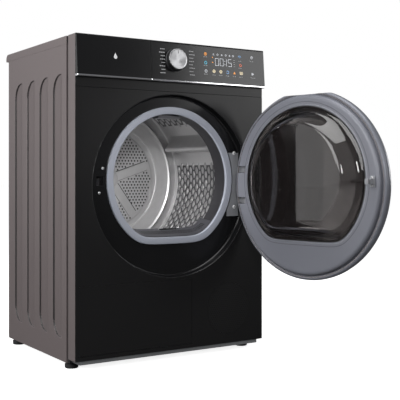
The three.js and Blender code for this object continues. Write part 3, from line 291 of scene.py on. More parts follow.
# Painted shade: a darker graphite laid on the steep faces of the swage steps.
GRAPHITE_STEP_SHADE = finish("graphite_step_painted_shade", (0.02, 0.017, 0.017), 0.5, metallic=0.2)
SCREW_STEEL = finish("bright_screw", (0.8, 0.8, 0.81), 0.3, metallic=0.45, mottle=0.02)
GASKET = finish("gasket_black", (0.006, 0.006, 0.006), 0.45)
TRIM_BROWN = finish("warm_trim", (0.42, 0.38, 0.37), 0.25, metallic=0.9)
PALE_EDGE = finish("pale_edge", (0.62, 0.63, 0.66), 0.2, metallic=0.85)
LIT_WHITE = finish("lit_white", (0.62, 0.64, 0.68), 0.4, glow=0.55)
LIT_WARM = finish("lit_warm", (0.8, 0.68, 0.45), 0.4, glow=0.5)
LIT_ORANGE = finish("lit_orange", (0.75, 0.3, 0.07), 0.4, glow=0.5)
LIT_TEAL = finish("lit_teal", (0.09, 0.42, 0.55), 0.4, glow=0.5)
LIT_BLUE = finish("lit_blue", (0.2, 0.36, 0.6), 0.4, glow=0.5)
LIT_RED = finish("lit_red", (0.7, 0.14, 0.07), 0.4, glow=0.5)
# Printed marks in their print colour, with a faint glow added that is painted light, as print gives none.
PRINT_WHITE_GLOWING = finish("printed_white_painted_glow", (0.62, 0.62, 0.63), 0.5, glow=0.1)
PRINT_GREY_GLOWING = finish("printed_grey_painted_glow", (0.36, 0.36, 0.37), 0.5, glow=0.12)
# Painted highlight: a dim grey for the fine line along the recess rim's edge.
RIM_HIGHLIGHT_GREY = finish("rim_painted_highlight", (0.035, 0.035, 0.037), 0.4)

for slot, level in (("front_paint", 0.32), ("gloss_black", 0.38)):
    FINISHES[slot].node_tree.nodes["Principled BSDF"].inputs["Specular IOR Level"].default_value = level

for row in frame["record"]["subparts"]:
    node = frame["nodes"][row["node"]]
    node.data.materials.clear()
    node.data.materials.append(FINISHES[row["material_slot"]])


# ======== modelling helpers ========

def face_outwards(bm):
    """Merges doubled vertices, then turns the faces outwards."""
    bmesh.ops.remove_doubles(bm, verts=bm.verts, dist=MERGE)
    bmesh.ops.recalc_face_normals(bm, faces=bm.faces)


def in_frame(name, bm):
    """Makes an object of a bmesh in millimetres, scaled and placed in the frame's metres."""
    bmesh.ops.scale(bm, vec=(MM, MM, MM), verts=bm.verts)
    bmesh.ops.translate(bm, vec=ORIGIN, verts=bm.verts)
    mesh = bpy.data.meshes.new(name)
    bm.to_mesh(mesh)
    bm.free()
    made = bpy.data.objects.new(name, mesh)
    bpy.context.scene.collection.objects.link(made)
    return made


def piece(name, bm, material, body, replaces=(), smooth=EDGE_ANGLE, turn=None, flip=True,
          weighted=True):
    """Finishes a bmesh in millimetres as a piece that rides on a CAD body.

    flip merges doubles and turns the faces outwards, and turn swings the piece to its place.
    """
    if flip:
        face_outwards(bm)
    if turn is not None:
        bmesh.ops.transform(bm, matrix=turn, verts=bm.verts)
    made = in_frame(name, bm)
    made.data.shade_smooth()
    made.data.set_sharp_from_angle(angle=math.radians(smooth))
    made.data.materials.append(material)
    if weighted:
        evened = made.modifiers.new("even_shading", "WEIGHTED_NORMAL")
        evened.keep_sharp = True
    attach(made, body)
    if replaces:
        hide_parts(*replaces)
    return made


def swung():
    """The turn that carries the door from closed to open about its hinge pin."""
    there = Matrix.Translation(HINGE)
    return there @ Matrix.Rotation(DOOR_OPEN, 4, "Z") @ there.inverted()


def ring_of(bm, points):
    """A closed loop of edges through the points."""
    verts = [bm.verts.new(point) for point in points]
    return [bm.edges.new((verts[k - 1], verts[k])) for k in range(len(verts))]


def line_of(bm, points):
    """An open run of edges through the points."""
    verts = [bm.verts.new(point) for point in points]
    return [bm.edges.new(pair) for pair in zip(verts, verts[1:])]


def absorb(bm, other):
    """Adds another bmesh's faces to this one and frees it."""
    mesh = bpy.data.meshes.new("part")
    other.to_mesh(mesh)
    other.free()
    bm.from_mesh(mesh)
    bpy.data.meshes.remove(mesh)


def add_band(bm, trace, here, there):
    """Bridges two rows of points, traced as rings or as lines, in a mesh of their own."""
    band = bmesh.new()
    bmesh.ops.bridge_loops(band, edges=trace(band, here) + trace(band, there))
    absorb(bm, band)


def skinned(rows, closed=False):
    """Bridges loops of points one after another and merges the bands."""
    bm = bmesh.new()
    pairs = list(zip(rows, rows[1:]))
    if closed:
        pairs.append((rows[-1], rows[0]))
    for here, there in pairs:
        add_band(bm, ring_of, here, there)
    bmesh.ops.remove_doubles(bm, verts=bm.verts, dist=MERGE)
    return bm


def open_loft(rows):
    """Bridges open rows of points, the last to the first as well, and caps the ends."""
    bm = bmesh.new()
    for here, there in zip(rows, rows[1:] + rows[:1]):
        add_band(bm, line_of, here, there)
    for end in (0, -1):
        bm.faces.new([bm.verts.new(row[end]) for row in rows])
    bmesh.ops.remove_doubles(bm, verts=bm.verts, dist=MERGE)
    return bm


def flat_round_point(angle, radius, flat, y, z):
    """A point on a circle with a flat chord below it, blended at its two corners."""
    down = max(0.0, -math.sin(angle)) / flat
    reach = ((1 / radius) ** CORNER_SHARPNESS + down ** CORNER_SHARPNESS) ** (-1 / CORNER_SHARPNESS)
    return reach * math.cos(angle), y, z + reach * math.sin(angle)


def flat_round(radius, flat, y, z):
    """The whole outline of such a circle."""
    return [flat_round_point(2 * math.pi * k / SMOOTH_STEPS, radius, flat, y, z)
            for k in range(SMOOTH_STEPS)]


def spun(profile, z=0.0, steps=SMOOTH_STEPS, bm=None):
    """Spins (radius, y) points round the front-to-back axis at height z."""
    bm = bm or bmesh.new()
    verts = [bm.verts.new((radius, y, z)) for radius, y in profile]
    edges = [bm.edges.new(pair) for pair in zip(verts, verts[1:])]
    bmesh.ops.spin(bm, geom=verts + edges, cent=(0, 0, z), axis=(0, 1, 0), dvec=(0, 0, 0),
                   angle=2 * math.pi, steps=steps, use_merge=True, use_normal_flip=False,
                   use_duplicate=False)
    return bm


def bar(bm, x0, x1, y0, y1, z0, z1, round_edges=0.0, segments=2):
    """A box from corner to corner, its edges rounded if asked."""
    made = bmesh.ops.create_cube(bm, size=1)["verts"]
    bmesh.ops.scale(bm, vec=(x1 - x0, y1 - y0, z1 - z0), verts=made)
    bmesh.ops.translate(bm, vec=((x0 + x1) / 2, (y0 + y1) / 2, (z0 + z1) / 2), verts=made)
    if round_edges:
        edges = list({edge for vert in made for edge in vert.link_edges})
        bmesh.ops.bevel(bm, geom=edges, offset=round_edges, offset_type="OFFSET", segments=segments,
                        profile=0.5, affect="EDGES", clamp_overlap=True, material=-1)
    return bm


def outline_plate(bm, points, depth):
    """A flat face through the points, drawn out by depth (a vector)."""
    face = bm.faces.new([bm.verts.new(point) for point in points])
    out = bmesh.ops.extrude_face_region(bm, geom=[face])
    moved = [item for item in out["geom"] if isinstance(item, bmesh.types.BMVert)]
    bmesh.ops.translate(bm, vec=depth, verts=moved)
    return moved


def added(bm, before):
    """The vertices that a mesh has gained since before."""
    return [vert for vert in bm.verts if vert not in before]


def cut_away(target, bm):
    """Cuts a bmesh's shape out of a piece and keeps the result in the piece's mesh."""
    cutter = in_frame("cutter", bm)
    modifier = target.modifiers.new("cut", "BOOLEAN")
    modifier.operation = "DIFFERENCE"
    modifier.solver = "EXACT"
    modifier.object = cutter
    bpy.context.view_layer.update()
    evaluated = target.evaluated_get(bpy.context.evaluated_depsgraph_get())
    result = bpy.data.meshes.new_from_object(evaluated)
    target.modifiers.remove(modifier)
    target.data = result
    target.data.set_sharp_from_angle(angle=math.radians(EDGE_ANGLE))
    bpy.data.objects.remove(cutter)


def disc_field(bm, pitch, rows, columns, radius, sides, centre, fits):
    """Staggered rows of flat discs that face the front, where fits(x, z) says there is room."""
    rise = pitch * math.sqrt(3) / 2
    upright = Matrix.Rotation(math.radians(90), 3, "X")
    for row in range(-rows, rows + 1):
        for column in range(-columns, columns + 1):
            x = (column + 0.5 * (row % 2)) * pitch
            z = row * rise
            if not fits(x, z):
                continue
            made = bmesh.ops.create_circle(bm, cap_ends=True, segments=sides, radius=radius)["verts"]
            bmesh.ops.rotate(bm, cent=(0, 0, 0), matrix=upright, verts=made)
            bmesh.ops.translate(bm, vec=(centre[0] + x, centre[1], centre[2] + z), verts=made)


def soften(node, width):
    """Rounds the edges of a CAD node without touching its mesh."""
    obj = frame["nodes"][node]
    weld = obj.modifiers.new("weld", "WELD")
    weld.merge_threshold = 0.000002
    bevel = obj.modifiers.new("round", "BEVEL")
    bevel.width = width * MM
    bevel.segments = 2
    bevel.limit_method = "ANGLE"
    bevel.angle_limit = math.radians(35)
    bevel.use_clamp_overlap = True


# ======== cabinet sides ========

SWAGE_FIRST, SWAGE_PITCH, SWAGES = 141.0, 93.4, 4
SWAGE_FOOT, SWAGE_HEAD = 79.0, 772.5
SWAGE_DEPTH, SWAGE_REACH, SWAGE_CORNER = 4.2, 55.0, 46.0
SWAGE_MARGIN = 4
STEP_WIDTH = 1.9
ACROSS_STEP, UP_STEP, UP_COARSE = 1.5, 1.6, 24.0
FOLD_DEPTHS = (0.9, 11.0)


def swage_depth(y, z):
    """How far the sheet is pressed in at (y, z): a step at each swage, faded out towards the front."""
    deepest = 0.0
    for index in range(SWAGES):
        rear = SWAGE_FIRST + index * SWAGE_PITCH
        front = rear - SWAGE_REACH
        beside = not front <= y <= rear + STEP_WIDTH
        if beside or not SWAGE_FOOT - SWAGE_MARGIN <= z <= SWAGE_HEAD + SWAGE_MARGIN:
            continue
        centre_y = rear - SWAGE_CORNER
        near_z = min(z - SWAGE_FOOT, SWAGE_HEAD - z)
        if near_z < SWAGE_CORNER and y > centre_y:
            edge = SWAGE_CORNER - math.hypot(y - centre_y, SWAGE_CORNER - near_z)
        else:
            edge = min(rear - y, near_z)
        step = min(1.0, max(0.0, edge / STEP_WIDTH + 0.5))
        step = step * step * (3 - 2 * step)
        fade = math.sqrt(min(1.0, max(0.0, (y - front) / SWAGE_REACH)))
        deepest = max(deepest, SWAGE_DEPTH * step * fade)
    return deepest


def stations(start, stop, fine, coarse, zones):
    """Steps from start to stop: fine inside the zones, coarse between them."""
    places = [start]
    while places[-1] < stop - fine * 0.5:
        here = places[-1]
        inside = any(low - coarse <= here <= high for low, high in zones)
        places.append(min(stop, here + (fine if inside else coarse)))
    return places


def side_sheet(side):
    """The painted side with its pressed swages and its folded edges; the steep faces of the swage steps carry
    a darker graphite as painted shade.
    """
    bm = bmesh.new()
    across = stations(BODY_FRONT, SIDE_DEPTH, ACROSS_STEP, ACROSS_STEP, [])
    corner = SWAGE_CORNER + SWAGE_MARGIN
    upward = stations(SIDE_FOOT, SIDE_HEAD, UP_STEP, UP_COARSE,
                      [(SWAGE_FOOT - SWAGE_MARGIN, SWAGE_FOOT + corner),
                       (SWAGE_HEAD - corner, SWAGE_HEAD + SWAGE_MARGIN)])
    bmesh.ops.create_grid(bm, x_segments=len(across) - 1, y_segments=len(upward) - 1, size=0.5)
    for vert in bm.verts:
        y = across[round((vert.co.x + 0.5) * (len(across) - 1))]
        z = upward[round((vert.co.y + 0.5) * (len(upward) - 1))]
        vert.co = (side * (HALF_WIDTH - swage_depth(y, z)), y, z)
    border = [edge for edge in bm.edges if edge.is_boundary]
    for depth in FOLD_DEPTHS:
        folded = bmesh.ops.extrude_edge_only(bm, edges=border)
        border = [item for item in folded["geom"] if isinstance(item, bmesh.types.BMEdge)]
        for vert in {vert for edge in border for vert in edge.verts}:
            vert.co.x = side * (HALF_WIDTH - depth)
    name = "left" if side < 0 else "right"
    made = piece(f"side_sheet_{name}", bm, FINISHES["graphite_paint"], "cabinet",
                 [f"side_panel_{name}"], smooth=50, weighted=False)
    # The second finish is painted shade: the steep step faces are coloured darker in place of the shade that
    # falls on them.
    made.data.materials.append(GRAPHITE_STEP_SHADE)
    for face in made.data.polygons:
        steep = abs(face.normal.x) < 0.9 and max(abs(face.normal.y), abs(face.normal.z)) > 0.35
        y = (face.center.y - ORIGIN.y) / MM
        if steep and BODY_FRONT + 4 < y < SIDE_DEPTH - 4:
            face.material_index = 1


for side in (-1, 1):
    side_sheet(side)

for node, width in (("top_cover", 1.4), ("front_panel", 0.8), ("console_housing", 0.9),
                    ("seam_frame", 0.4), ("service_flap", 0.7), ("base_tray", 0.6),
                    ("rear_panel", 0.3), ("hinge_bracket", 0.8), ("door_hook", 0.8),
                    ("console_fascia", 0.9), ("drawer_front", 0.9), ("latch_housing", 0.5),
                    ("chrome_strip_left", 0.4), ("chrome_strip_right", 0.4)):
    soften(node, width)


def frame_side(side):
    """The painted side of the front frame, the same graphite as the sides, with a rolled front edge."""
    bm = bmesh.new()
    x0, x1 = sorted((side * (HALF_WIDTH - 2.0), side * (HALF_WIDTH + 0.25)))
    bar(bm, x0, x1, 1.2, FRAME_DEPTH - 0.2, 29.5, TOP - 0.8, 0.6)
    name = "left" if side < 0 else "right"
    piece(f"frame_side_{name}", bm, FINISHES["graphite_paint"], "cabinet")


for side in (-1, 1):
    frame_side(side)


# ======== recess and loading mouth ========

def cut_box(target, *corners):
    """Cuts a straight-sided hole through a piece."""
    bm = bmesh.new()
    bar(bm, *corners)
    cut_away(target, bm)


def round_loop(radius, y):
    return flat_round(radius, NO_FLAT, y, RECESS_Z)


def recess():
    """The gloss dish round the mouth, with a fine lip at its rim and another at its floor."""
    seat, seat_flat = MOUTH_RADIUS + 10, MOUTH_FLAT + 10
    rows = [
        round_loop(RECESS_RADIUS, 8), round_loop(RECESS_RADIUS, 0.4),
        round_loop(RECESS_RADIUS - 0.3, 0.1), round_loop(RECESS_RADIUS - 0.7, 0.5),
        round_loop(RECESS_FLOOR_RADIUS + 2.2, RECESS_DEPTH - 3.5),
        round_loop(RECESS_FLOOR_RADIUS + 0.6, RECESS_DEPTH - 0.8),
        round_loop(RECESS_FLOOR_RADIUS - 1.0, RECESS_DEPTH),
        round_loop(RECESS_FLOOR_RADIUS - 3.0, RECESS_DEPTH),
        flat_round(seat, seat_flat, RECESS_DEPTH, MOUTH_Z),
        flat_round(seat, seat_flat, RECESS_DEPTH + 2.4, MOUTH_Z),
        round_loop(RECESS_FLOOR_RADIUS + 2, RECESS_DEPTH + 2.4),
    ]
    made = piece("recess_dish", skinned(rows, closed=True), FINISHES["gloss_black"], "cabinet",
                 ["recess_bezel"])
    cut_box(made, LATCH_X - 9.2, LATCH_X + 9.2, RECESS_DEPTH - 5, RECESS_DEPTH + 8,
            LATCH_Z - 12.2, LATCH_Z + 12.2)


recess()


def recess_rim_line():
    """A fine line round the dish's rim: a thin wire spun into a hoop, its dim grey a painted highlight along
    the rim's edge.
    """
    radius, y, wire, sides = RECESS_RADIUS - 1.2, 0.9, 0.4, 8
    profile = []
    for k in range(sides + 1):
        angle = 2 * math.pi * k / sides
        profile.append((radius + wire * math.cos(angle), y + wire * math.sin(angle)))
    piece("recess_rim_line", spun(profile, RECESS_Z), RIM_HIGHLIGHT_GREY, "cabinet")


recess_rim_line()


def opening_surround():
    """The pale ring round the mouth, rolled over at both edges and seated on the dish's floor."""
    outer, outer_flat = MOUTH_RADIUS + RING_WIDTH, MOUTH_FLAT + RING_WIDTH - 1
    rows = []
    for grow, y in ((-1.9, RING_FRONT + 0.05), (-0.7, RING_FRONT + 0.5), (0, RING_FRONT + 1.8),
                    (0, RING_SEAT)):
        rows.append(flat_round(outer + grow, outer_flat + grow, y, MOUTH_Z))
    for grow, y in ((9, RING_SEAT), (9, RING_REAR), (0, RING_REAR), (0, RING_FRONT + 2.2),
                    (0.6, RING_FRONT + 0.8), (2.0, RING_FRONT)):
        rows.append(flat_round(MOUTH_RADIUS + grow, MOUTH_FLAT + grow, y, MOUTH_Z))
    rows.append(flat_round(outer - 9, outer_flat - 9, RING_FRONT - 0.25, MOUTH_Z))
    piece("opening_surround", skinned(rows, closed=True), FINISHES["pale_ring"], "cabinet",
          ["opening_ring"])


opening_surround()


def mouth_sleeve():
    """The black sleeve that leads from the ring to the drum, and the felt it seals against."""
    rows = [flat_round(MOUTH_RADIUS + grow, MOUTH_FLAT + grow, y, MOUTH_Z)
            for grow, y in ((0.1, 22.7), (-0.2, 30), (-0.2, 66), (1.0, 72), (4.6, 74.2), (4.6, 24),
                            (0.3, 22.7))]
    piece("mouth_sleeve", skinned(rows, closed=True), FINISHES["black_moulding"], "cabinet")
    felt = [(188, 66), (204, 66), (206, 68), (206, 74.5), (188, 74.5), (188, 66)]
    piece("drum_felt", spun(felt, DRUM_Z), FINISHES["roller_rubber"], "cabinet")


mouth_sleeve()


# ======== lint filter cover ========

COVER_FRONT, COVER_SLOPE_END, COVER_REAR = 24.4, 63.5, 69.5
MOUTH_FOOT = MOUTH_Z - MOUTH_FLAT


def cover_row(grow, flat_grow, y, half_angle=49, count=72):
    """The part of the mouth's outline that the lint cover follows, left to right across the foot."""
    radius, flat = MOUTH_RADIUS + grow, MOUTH_FLAT + flat_grow
    angles = [math.radians(-90 - half_angle + 2 * half_angle * k / count) for k in range(count + 1)]
    return [flat_round_point(angle, radius, flat, y, MOUTH_Z) for angle in angles]


def lint_cover():
    """The sloping cover at the mouth's foot, cut out behind for its grip."""
    cover = open_loft([
        cover_row(-0.6, -0.6, COVER_FRONT), cover_row(-1.6, -2.6, COVER_FRONT + 0.4),
        cover_row(-9.5, -19, COVER_SLOPE_END), cover_row(-11, -21.4, 67),
        cover_row(-11.4, -21.6, COVER_REAR), cover_row(-8.0, -18.0, COVER_REAR),
        cover_row(-0.4, -0.4, 34)])
    made = piece("lint_cover", cover, FINISHES["filter_moulding"], "lint_filter")
    cut_box(made, -16, 44, 62, 80, 320, MOUTH_FOOT + 60)
    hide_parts("lint_filter")
    grip = bmesh.new()
    bar(grip, -14, 42, 60.5, 64, MOUTH_FOOT + 6, MOUTH_FOOT + 21.2, 0.6)
    piece("lint_grip", grip, GASKET, "lint_filter")


lint_cover()


def lint_pocket():
    """The thin pocket that hangs below the cover, open at the top."""
    bm = bmesh.new()
    top, foot = MOUTH_FOOT + 3, MOUTH_FOOT - 109
    left, right, front, rear = -100, 100, 37.2, 50.8
    for x0, x1, y0, y1, z1 in ((left, right, front, 40.0, top), (left, right, 48.0, rear, top),
                               (left, left + 3, front, rear, top), (right - 3, right, front, rear, top),
                               (left, right, front, rear, foot + 3)):
        bar(bm, x0, x1, y0, y1, foot, z1, 0.6)
    piece("lint_pocket", bm, FINISHES["filter_moulding"], "lint_filter")


lint_pocket()


# ======== drum ========

LIFTER_ANGLES = (-93.6, 146.4, 26.4)
SHEET = 1.5
BUMP_SIZE = (4.6, 6.3, 12.4)
BUMP_COLUMNS, BUMPS_AROUND, BUMP_PITCH = 15, 58, 17.4


def round_the_drum(degrees):
    """The turn that carries a shape drawn at the drum's right side to an angle round its axis."""
    return Matrix.Translation((0, 0, DRUM_Z)) @ Matrix.Rotation(-math.radians(degrees), 4, "Y")


def near_lifter(angle, margin):
    """True where an angle in degrees is closer to a lifter than the margin."""
    return any(abs((angle - lifter_angle + 180) % 360 - 180) < margin for lifter_angle in LIFTER_ANGLES)


def drum_wall():
    """The drum's round wall, with a pressed bead near its front and rolled ends."""
    inside = DRUM_RADIUS - SHEET
    profile = [(LIP_RADIUS, DRUM_FRONT), (DRUM_RADIUS - 4, DRUM_FRONT),
               (DRUM_RADIUS - 1, DRUM_FRONT + 1.5), (DRUM_RADIUS, DRUM_FRONT + 4),
               (DRUM_RADIUS, DRUM_END - 4), (DRUM_RADIUS - 4, DRUM_END),
               (BACK_RADIUS + 0.3, DRUM_END), (BACK_RADIUS + 0.3, DRUM_END - SHEET),
               (DRUM_RADIUS - 4.6, DRUM_END - SHEET), (inside, DRUM_END - 4.6),
               (inside, DRUM_FRONT + 44), (inside - 2, DRUM_FRONT + 40), (inside - 2, DRUM_FRONT + 34),
               (inside, DRUM_FRONT + 30), (inside, DRUM_FRONT + 4.6),
               (DRUM_RADIUS - 4.6, DRUM_FRONT + SHEET), (LIP_RADIUS, DRUM_FRONT + SHEET),
               (LIP_RADIUS, DRUM_FRONT)]
    piece("drum_wall", spun(profile, DRUM_Z, steps=180), FINISHES["drum_steel"], "drum",
          ["drum_shell"], smooth=40)


def drum_bumps():
    """Staggered columns of small upright lens-shaped bumps on the wall, clear of the lifters."""
    pattern = bmesh.new()
    bmesh.ops.create_uvsphere(pattern, u_segments=8, v_segments=6, radius=1)
    bmesh.ops.scale(pattern, vec=BUMP_SIZE, verts=pattern.verts)
    lens = bpy.data.meshes.new("lens")
    pattern.to_mesh(lens)
    pattern.free()
    bm = bmesh.new()
    for column in range(BUMP_COLUMNS):
        y = DRUM_FRONT + 58 + column * BUMP_PITCH
        for k in range(BUMPS_AROUND):
            angle = 360 * (k + 0.5 * (column % 2)) / BUMPS_AROUND
            if near_lifter(angle, 17):
                continue
            before = len(bm.verts)
            bm.from_mesh(lens)
            bm.verts.ensure_lookup_table()
            made = bm.verts[before:]
            spot = Matrix.Translation((0, y, DRUM_Z)) @ Matrix.Rotation(-math.radians(angle), 4, "Y") \
                @ Matrix.Translation((DRUM_RADIUS - 1.0, 0, 0))
            bmesh.ops.transform(bm, matrix=spot, verts=made)
    bpy.data.meshes.remove(lens)
    piece("drum_bumps", bm, DRUM_RELIEF, "drum", flip=False, smooth=80, weighted=False)


def drum_shade_bed():
    """A dark sheet of painted shade in the hollows between the bumps, a thin layer between the lifters."""
    near, far = DRUM_RADIUS - 1.9, DRUM_RADIUS - 1.2
    bed = spun([(near, DRUM_FRONT + 50), (near, DRUM_END - 14), (far, DRUM_END - 12),
                (far, DRUM_FRONT + 48), (near, DRUM_FRONT + 50)], DRUM_Z)
    bmesh.ops.remove_doubles(bed, verts=bed.verts, dist=MERGE)
    spare = []
    for face in bed.faces:
        middle = face.calc_center_median()
        angle = math.degrees(math.atan2(middle.z - DRUM_Z, middle.x))
        if near_lifter(angle, 16):
            spare.append(face)
    bmesh.ops.delete(bed, geom=spare, context="FACES")
    piece("drum_shade_bed", bed, DRUM_HOLLOW_SHADE, "drum", weighted=False)


def drum_end():
    """The rear wall: a flat middle, two fine ring grooves, a smooth band and a rolled bead."""
    y = DRUM_BACK
    front = [(0, y), (146, y), (148, y + 0.6), (150, y + 2.6), (152.5, y + 3), (164.5, y + 3),
             (166.5, y + 1.5), (168, y - 0.8), (172, y - 1.6), (205, y - 5), (208.5, y - 7.6),
             (212, y - 9), (215.5, y - 7.8), (218, y - 5), (219.5, y + 1),
             (BACK_RADIUS, DRUM_END - SHEET)]
    rear = [(radius, depth + SHEET) for radius, depth in reversed(front)]
    piece("drum_rear_wall", spun(front + rear, DRUM_Z, steps=180), FINISHES["drum_steel"], "drum",
          ["drum_back"], smooth=40)


SPOKES = (18, 90, 162, 234, 306)
SPOKE_WIDTH = 27.0
SPOKE_ROOT, SPOKE_REACH, SPOKE_RISE = 22, 128, 2.4
SPOKE_END_STEPS = 12


def on_spoke(x, z, margin):
    """True where (x, z), from the drum's middle, is on the hub or a raised spoke."""
    radius = math.hypot(x, z)
    if radius < 30 + margin:
        return True
    for degrees in SPOKES:
        along = x * math.cos(math.radians(degrees)) + z * math.sin(math.radians(degrees))
        across = abs(-x * math.sin(math.radians(degrees)) + z * math.cos(math.radians(degrees)))
        if 0 < along < 140 and across < SPOKE_WIDTH / 2 + margin:
            return True
    return False


def drum_holes():
    """Round holes in a staggered pattern in the sectors between the spokes."""
    bm = bmesh.new()
    disc_field(bm, 11.0, 14, 15, 2.9, 10, (0, DRUM_BACK - 0.12, DRUM_Z),
               lambda x, z: math.hypot(x, z) <= 144 and not on_spoke(x, z, 3.6))
    piece("drum_holes", bm, DRUM_HOLE, "drum", flip=False)


def drum_spokes():
    """Five raised flat arms with rounded ends, and the round boss they meet at."""
    bm = bmesh.new()
    half, foot = SPOKE_WIDTH / 2, DRUM_BACK - 0.1
    for degrees in SPOKES:
        points = []
        for k in range(SPOKE_END_STEPS + 1):
            angle = math.radians(-90 + 180 * k / SPOKE_END_STEPS)
            points.append(Vector((SPOKE_REACH + half * math.cos(angle), foot, half * math.sin(angle))))
        points += [Vector((SPOKE_ROOT, foot, half)), Vector((SPOKE_ROOT, foot, -half))]
        before = set(bm.verts)
        outline_plate(bm, points, (0, -SPOKE_RISE, 0))
        near = {vert for vert in added(bm, before) if vert.co.y < DRUM_BACK - 1}
        edges = [edge for edge in bm.edges if edge.verts[0] in near and edge.verts[1] in near]
        bmesh.ops.bevel(bm, geom=edges, offset=1.4, offset_type="OFFSET", segments=2, profile=0.5,
                        affect="EDGES", material=-1)
        turn = round_the_drum(degrees)
        bmesh.ops.transform(bm, matrix=turn, verts=added(bm, before))
    spun([(0, DRUM_BACK - 3.6), (22, DRUM_BACK - 3.6), (27, DRUM_BACK - 2.6), (29.5, foot), (0, foot)],
         DRUM_Z, steps=60, bm=bm)
    piece("drum_spokes", bm, FINISHES["drum_steel"], "drum", smooth=40)


def drum_spoke_crease_shade():
    """Thin dark strips of painted shadow along each spoke: a broad one on one side, a fine one on the other.
    """
    lines = bmesh.new()
    for degrees in SPOKES:
        turn = round_the_drum(degrees)
        for edge, width in ((SPOKE_WIDTH / 2 + 1.4, 2.2), (-SPOKE_WIDTH / 2 - 1.0, 0.8)):
            before = set(lines.verts)
            bar(lines, 27, 136, DRUM_BACK - 0.25, DRUM_BACK - 0.05, edge - width / 2, edge + width / 2)
            bmesh.ops.transform(lines, matrix=turn, verts=added(lines, before))
    piece("drum_spoke_crease_shade", lines, DRUM_HOLE, "drum")


LIFTER_WAVE, LIFTER_WAVES = 1.1, 7


def lifter(index, degrees):
    """One paddle: a rounded ridge along the drum with sloped ends and shallow waves on its flanks."""
    base = math.sqrt((DRUM_RADIUS - 1.8) ** 2 - 30 ** 2)
    flank = [(-30, base), (-24, base - 4), (-17, base - 14), (-11, base - 28), (-8, base - 38),
             (-5, base - 43)]
    section = flank + [(0, base - 45)] + [(-across, level) for across, level in reversed(flank)]
    rows = []
    start, end, steps = DRUM_FRONT + 27, DRUM_END - 23, 44
    for step in range(steps + 1):
        t = step / steps
        y = start + (end - start) * t
        ends = min(1.0, 0.35 + 9 * min(t, 1 - t))
        wave = LIFTER_WAVE * math.sin(t * 2 * math.pi * LIFTER_WAVES)
        row = []
        for u, v in section:
            height = (base - v) * ends
            side = wave * math.sin(math.pi * min(1.0, (base - v) / 40)) * (1 if u > 0 else -1)
            row.append(Vector((base - height, y, u + side)))
        rows.append(row)
    bm = bmesh.new()
    lines = [line_of(bm, row) for row in rows]
    for here, there in zip(lines, lines[1:]):
        bmesh.ops.bridge_loops(bm, edges=here + there)
    bmesh.ops.holes_fill(bm, edges=[edge for edge in bm.edges if edge.is_boundary], sides=0)
    turn = round_the_drum(degrees)
    bmesh.ops.transform(bm, matrix=turn, verts=bm.verts)
    piece(f"lifter_{index}", bm, FINISHES["drum_steel"], "drum", [f"drum_lifter_{index}"],
          smooth=60)


drum_wall()
drum_bumps()
drum_shade_bed()
drum_end()
drum_holes()
drum_spokes()
drum_spoke_crease_shade()
for index, degrees in enumerate(LIFTER_ANGLES, 1):
    lifter(index, degrees)


# ======== door, drawn closed and swung open ========

OPEN_TURN = swung()


def door_loop(radius, y):
    return flat_round(radius, NO_FLAT, y, DOOR_Z)


def window_loop(grow, y):
    return flat_round(WINDOW_RADIUS + grow, WINDOW_FLAT + grow, y, WINDOW_Z)


def notched(made):
    """Clears a slot round each hinge knuckle, as the solids have."""
    for z in KNUCKLES:
        bm = bmesh.new()
        bar(bm, HINGE.x - 19, HINGE.x + 40, HINGE.y - 9, DOOR_FACE + 5, z - 9.5, z + 9.5)
        bmesh.ops.transform(bm, matrix=OPEN_TURN, verts=bm.verts)
        cut_away(made, bm)


def flat_topped(bm):
    """Cuts the top of a door ring off level, as the rim has it."""
    bmesh.ops.remove_doubles(bm, verts=bm.verts, dist=MERGE)
    cut = bmesh.ops.bisect_plane(bm, geom=bm.verts[:] + bm.edges[:] + bm.faces[:], dist=0.001,
                                 plane_co=(0, 0, DOOR_Z + RIM_FLAT), plane_no=(0, 0, 1), clear_outer=True)
    edges = [item for item in cut["geom_cut"] if isinstance(item, bmesh.types.BMEdge) and item.is_boundary]
    bmesh.ops.triangle_fill(bm, edges=edges, use_beauty=True)
    return bm


def door_inner_ring():
    """The door's inner face, from the window's step out to its rounded edge."""
    rows = [window_loop(grow, y)
            for grow, y in ((0, 1), (0, 4.2), (0.6, 5.6), (2.0, DOOR_FACE), (4.0, DOOR_FACE))]
    rows += [door_loop(radius, y) for radius, y in (
        (226, DOOR_FACE), (230, DOOR_FACE), (233.5, 5.8), (237, 4.6), (239, 2.4), (240.2, -0.6),
        (DOOR_FACE_RADIUS, -4), (DOOR_FACE_RADIUS, -7))]
    rows.append(window_loop(8, -7))
    notched(piece("door_inner_ring", skinned(rows, closed=True), FINISHES["door_satin"], "door",
                  ["door_inner_frame"], turn=OPEN_TURN))


def door_outer_ring():
    """The door's outer body, with a shallow step behind its rounded rim."""
    rows = [window_loop(7, -7.3)]
    rows += [door_loop(radius, y) for radius, y in (
        (241.4, -7.3), (243.2, -6.8), (245.6, -4.3), (249.2, -4.2), (252.2, -5.6), (253.7, -8.6),
        (RIM_RADIUS, -13), (253.9, -19), (252.3, -22))]
    rows.append(window_loop(7, -22))
    notched(piece("door_outer_ring", flat_topped(skinned(rows, closed=True)), FINISHES["door_satin"],
                  "door", ["door_outer_frame"], turn=OPEN_TURN))


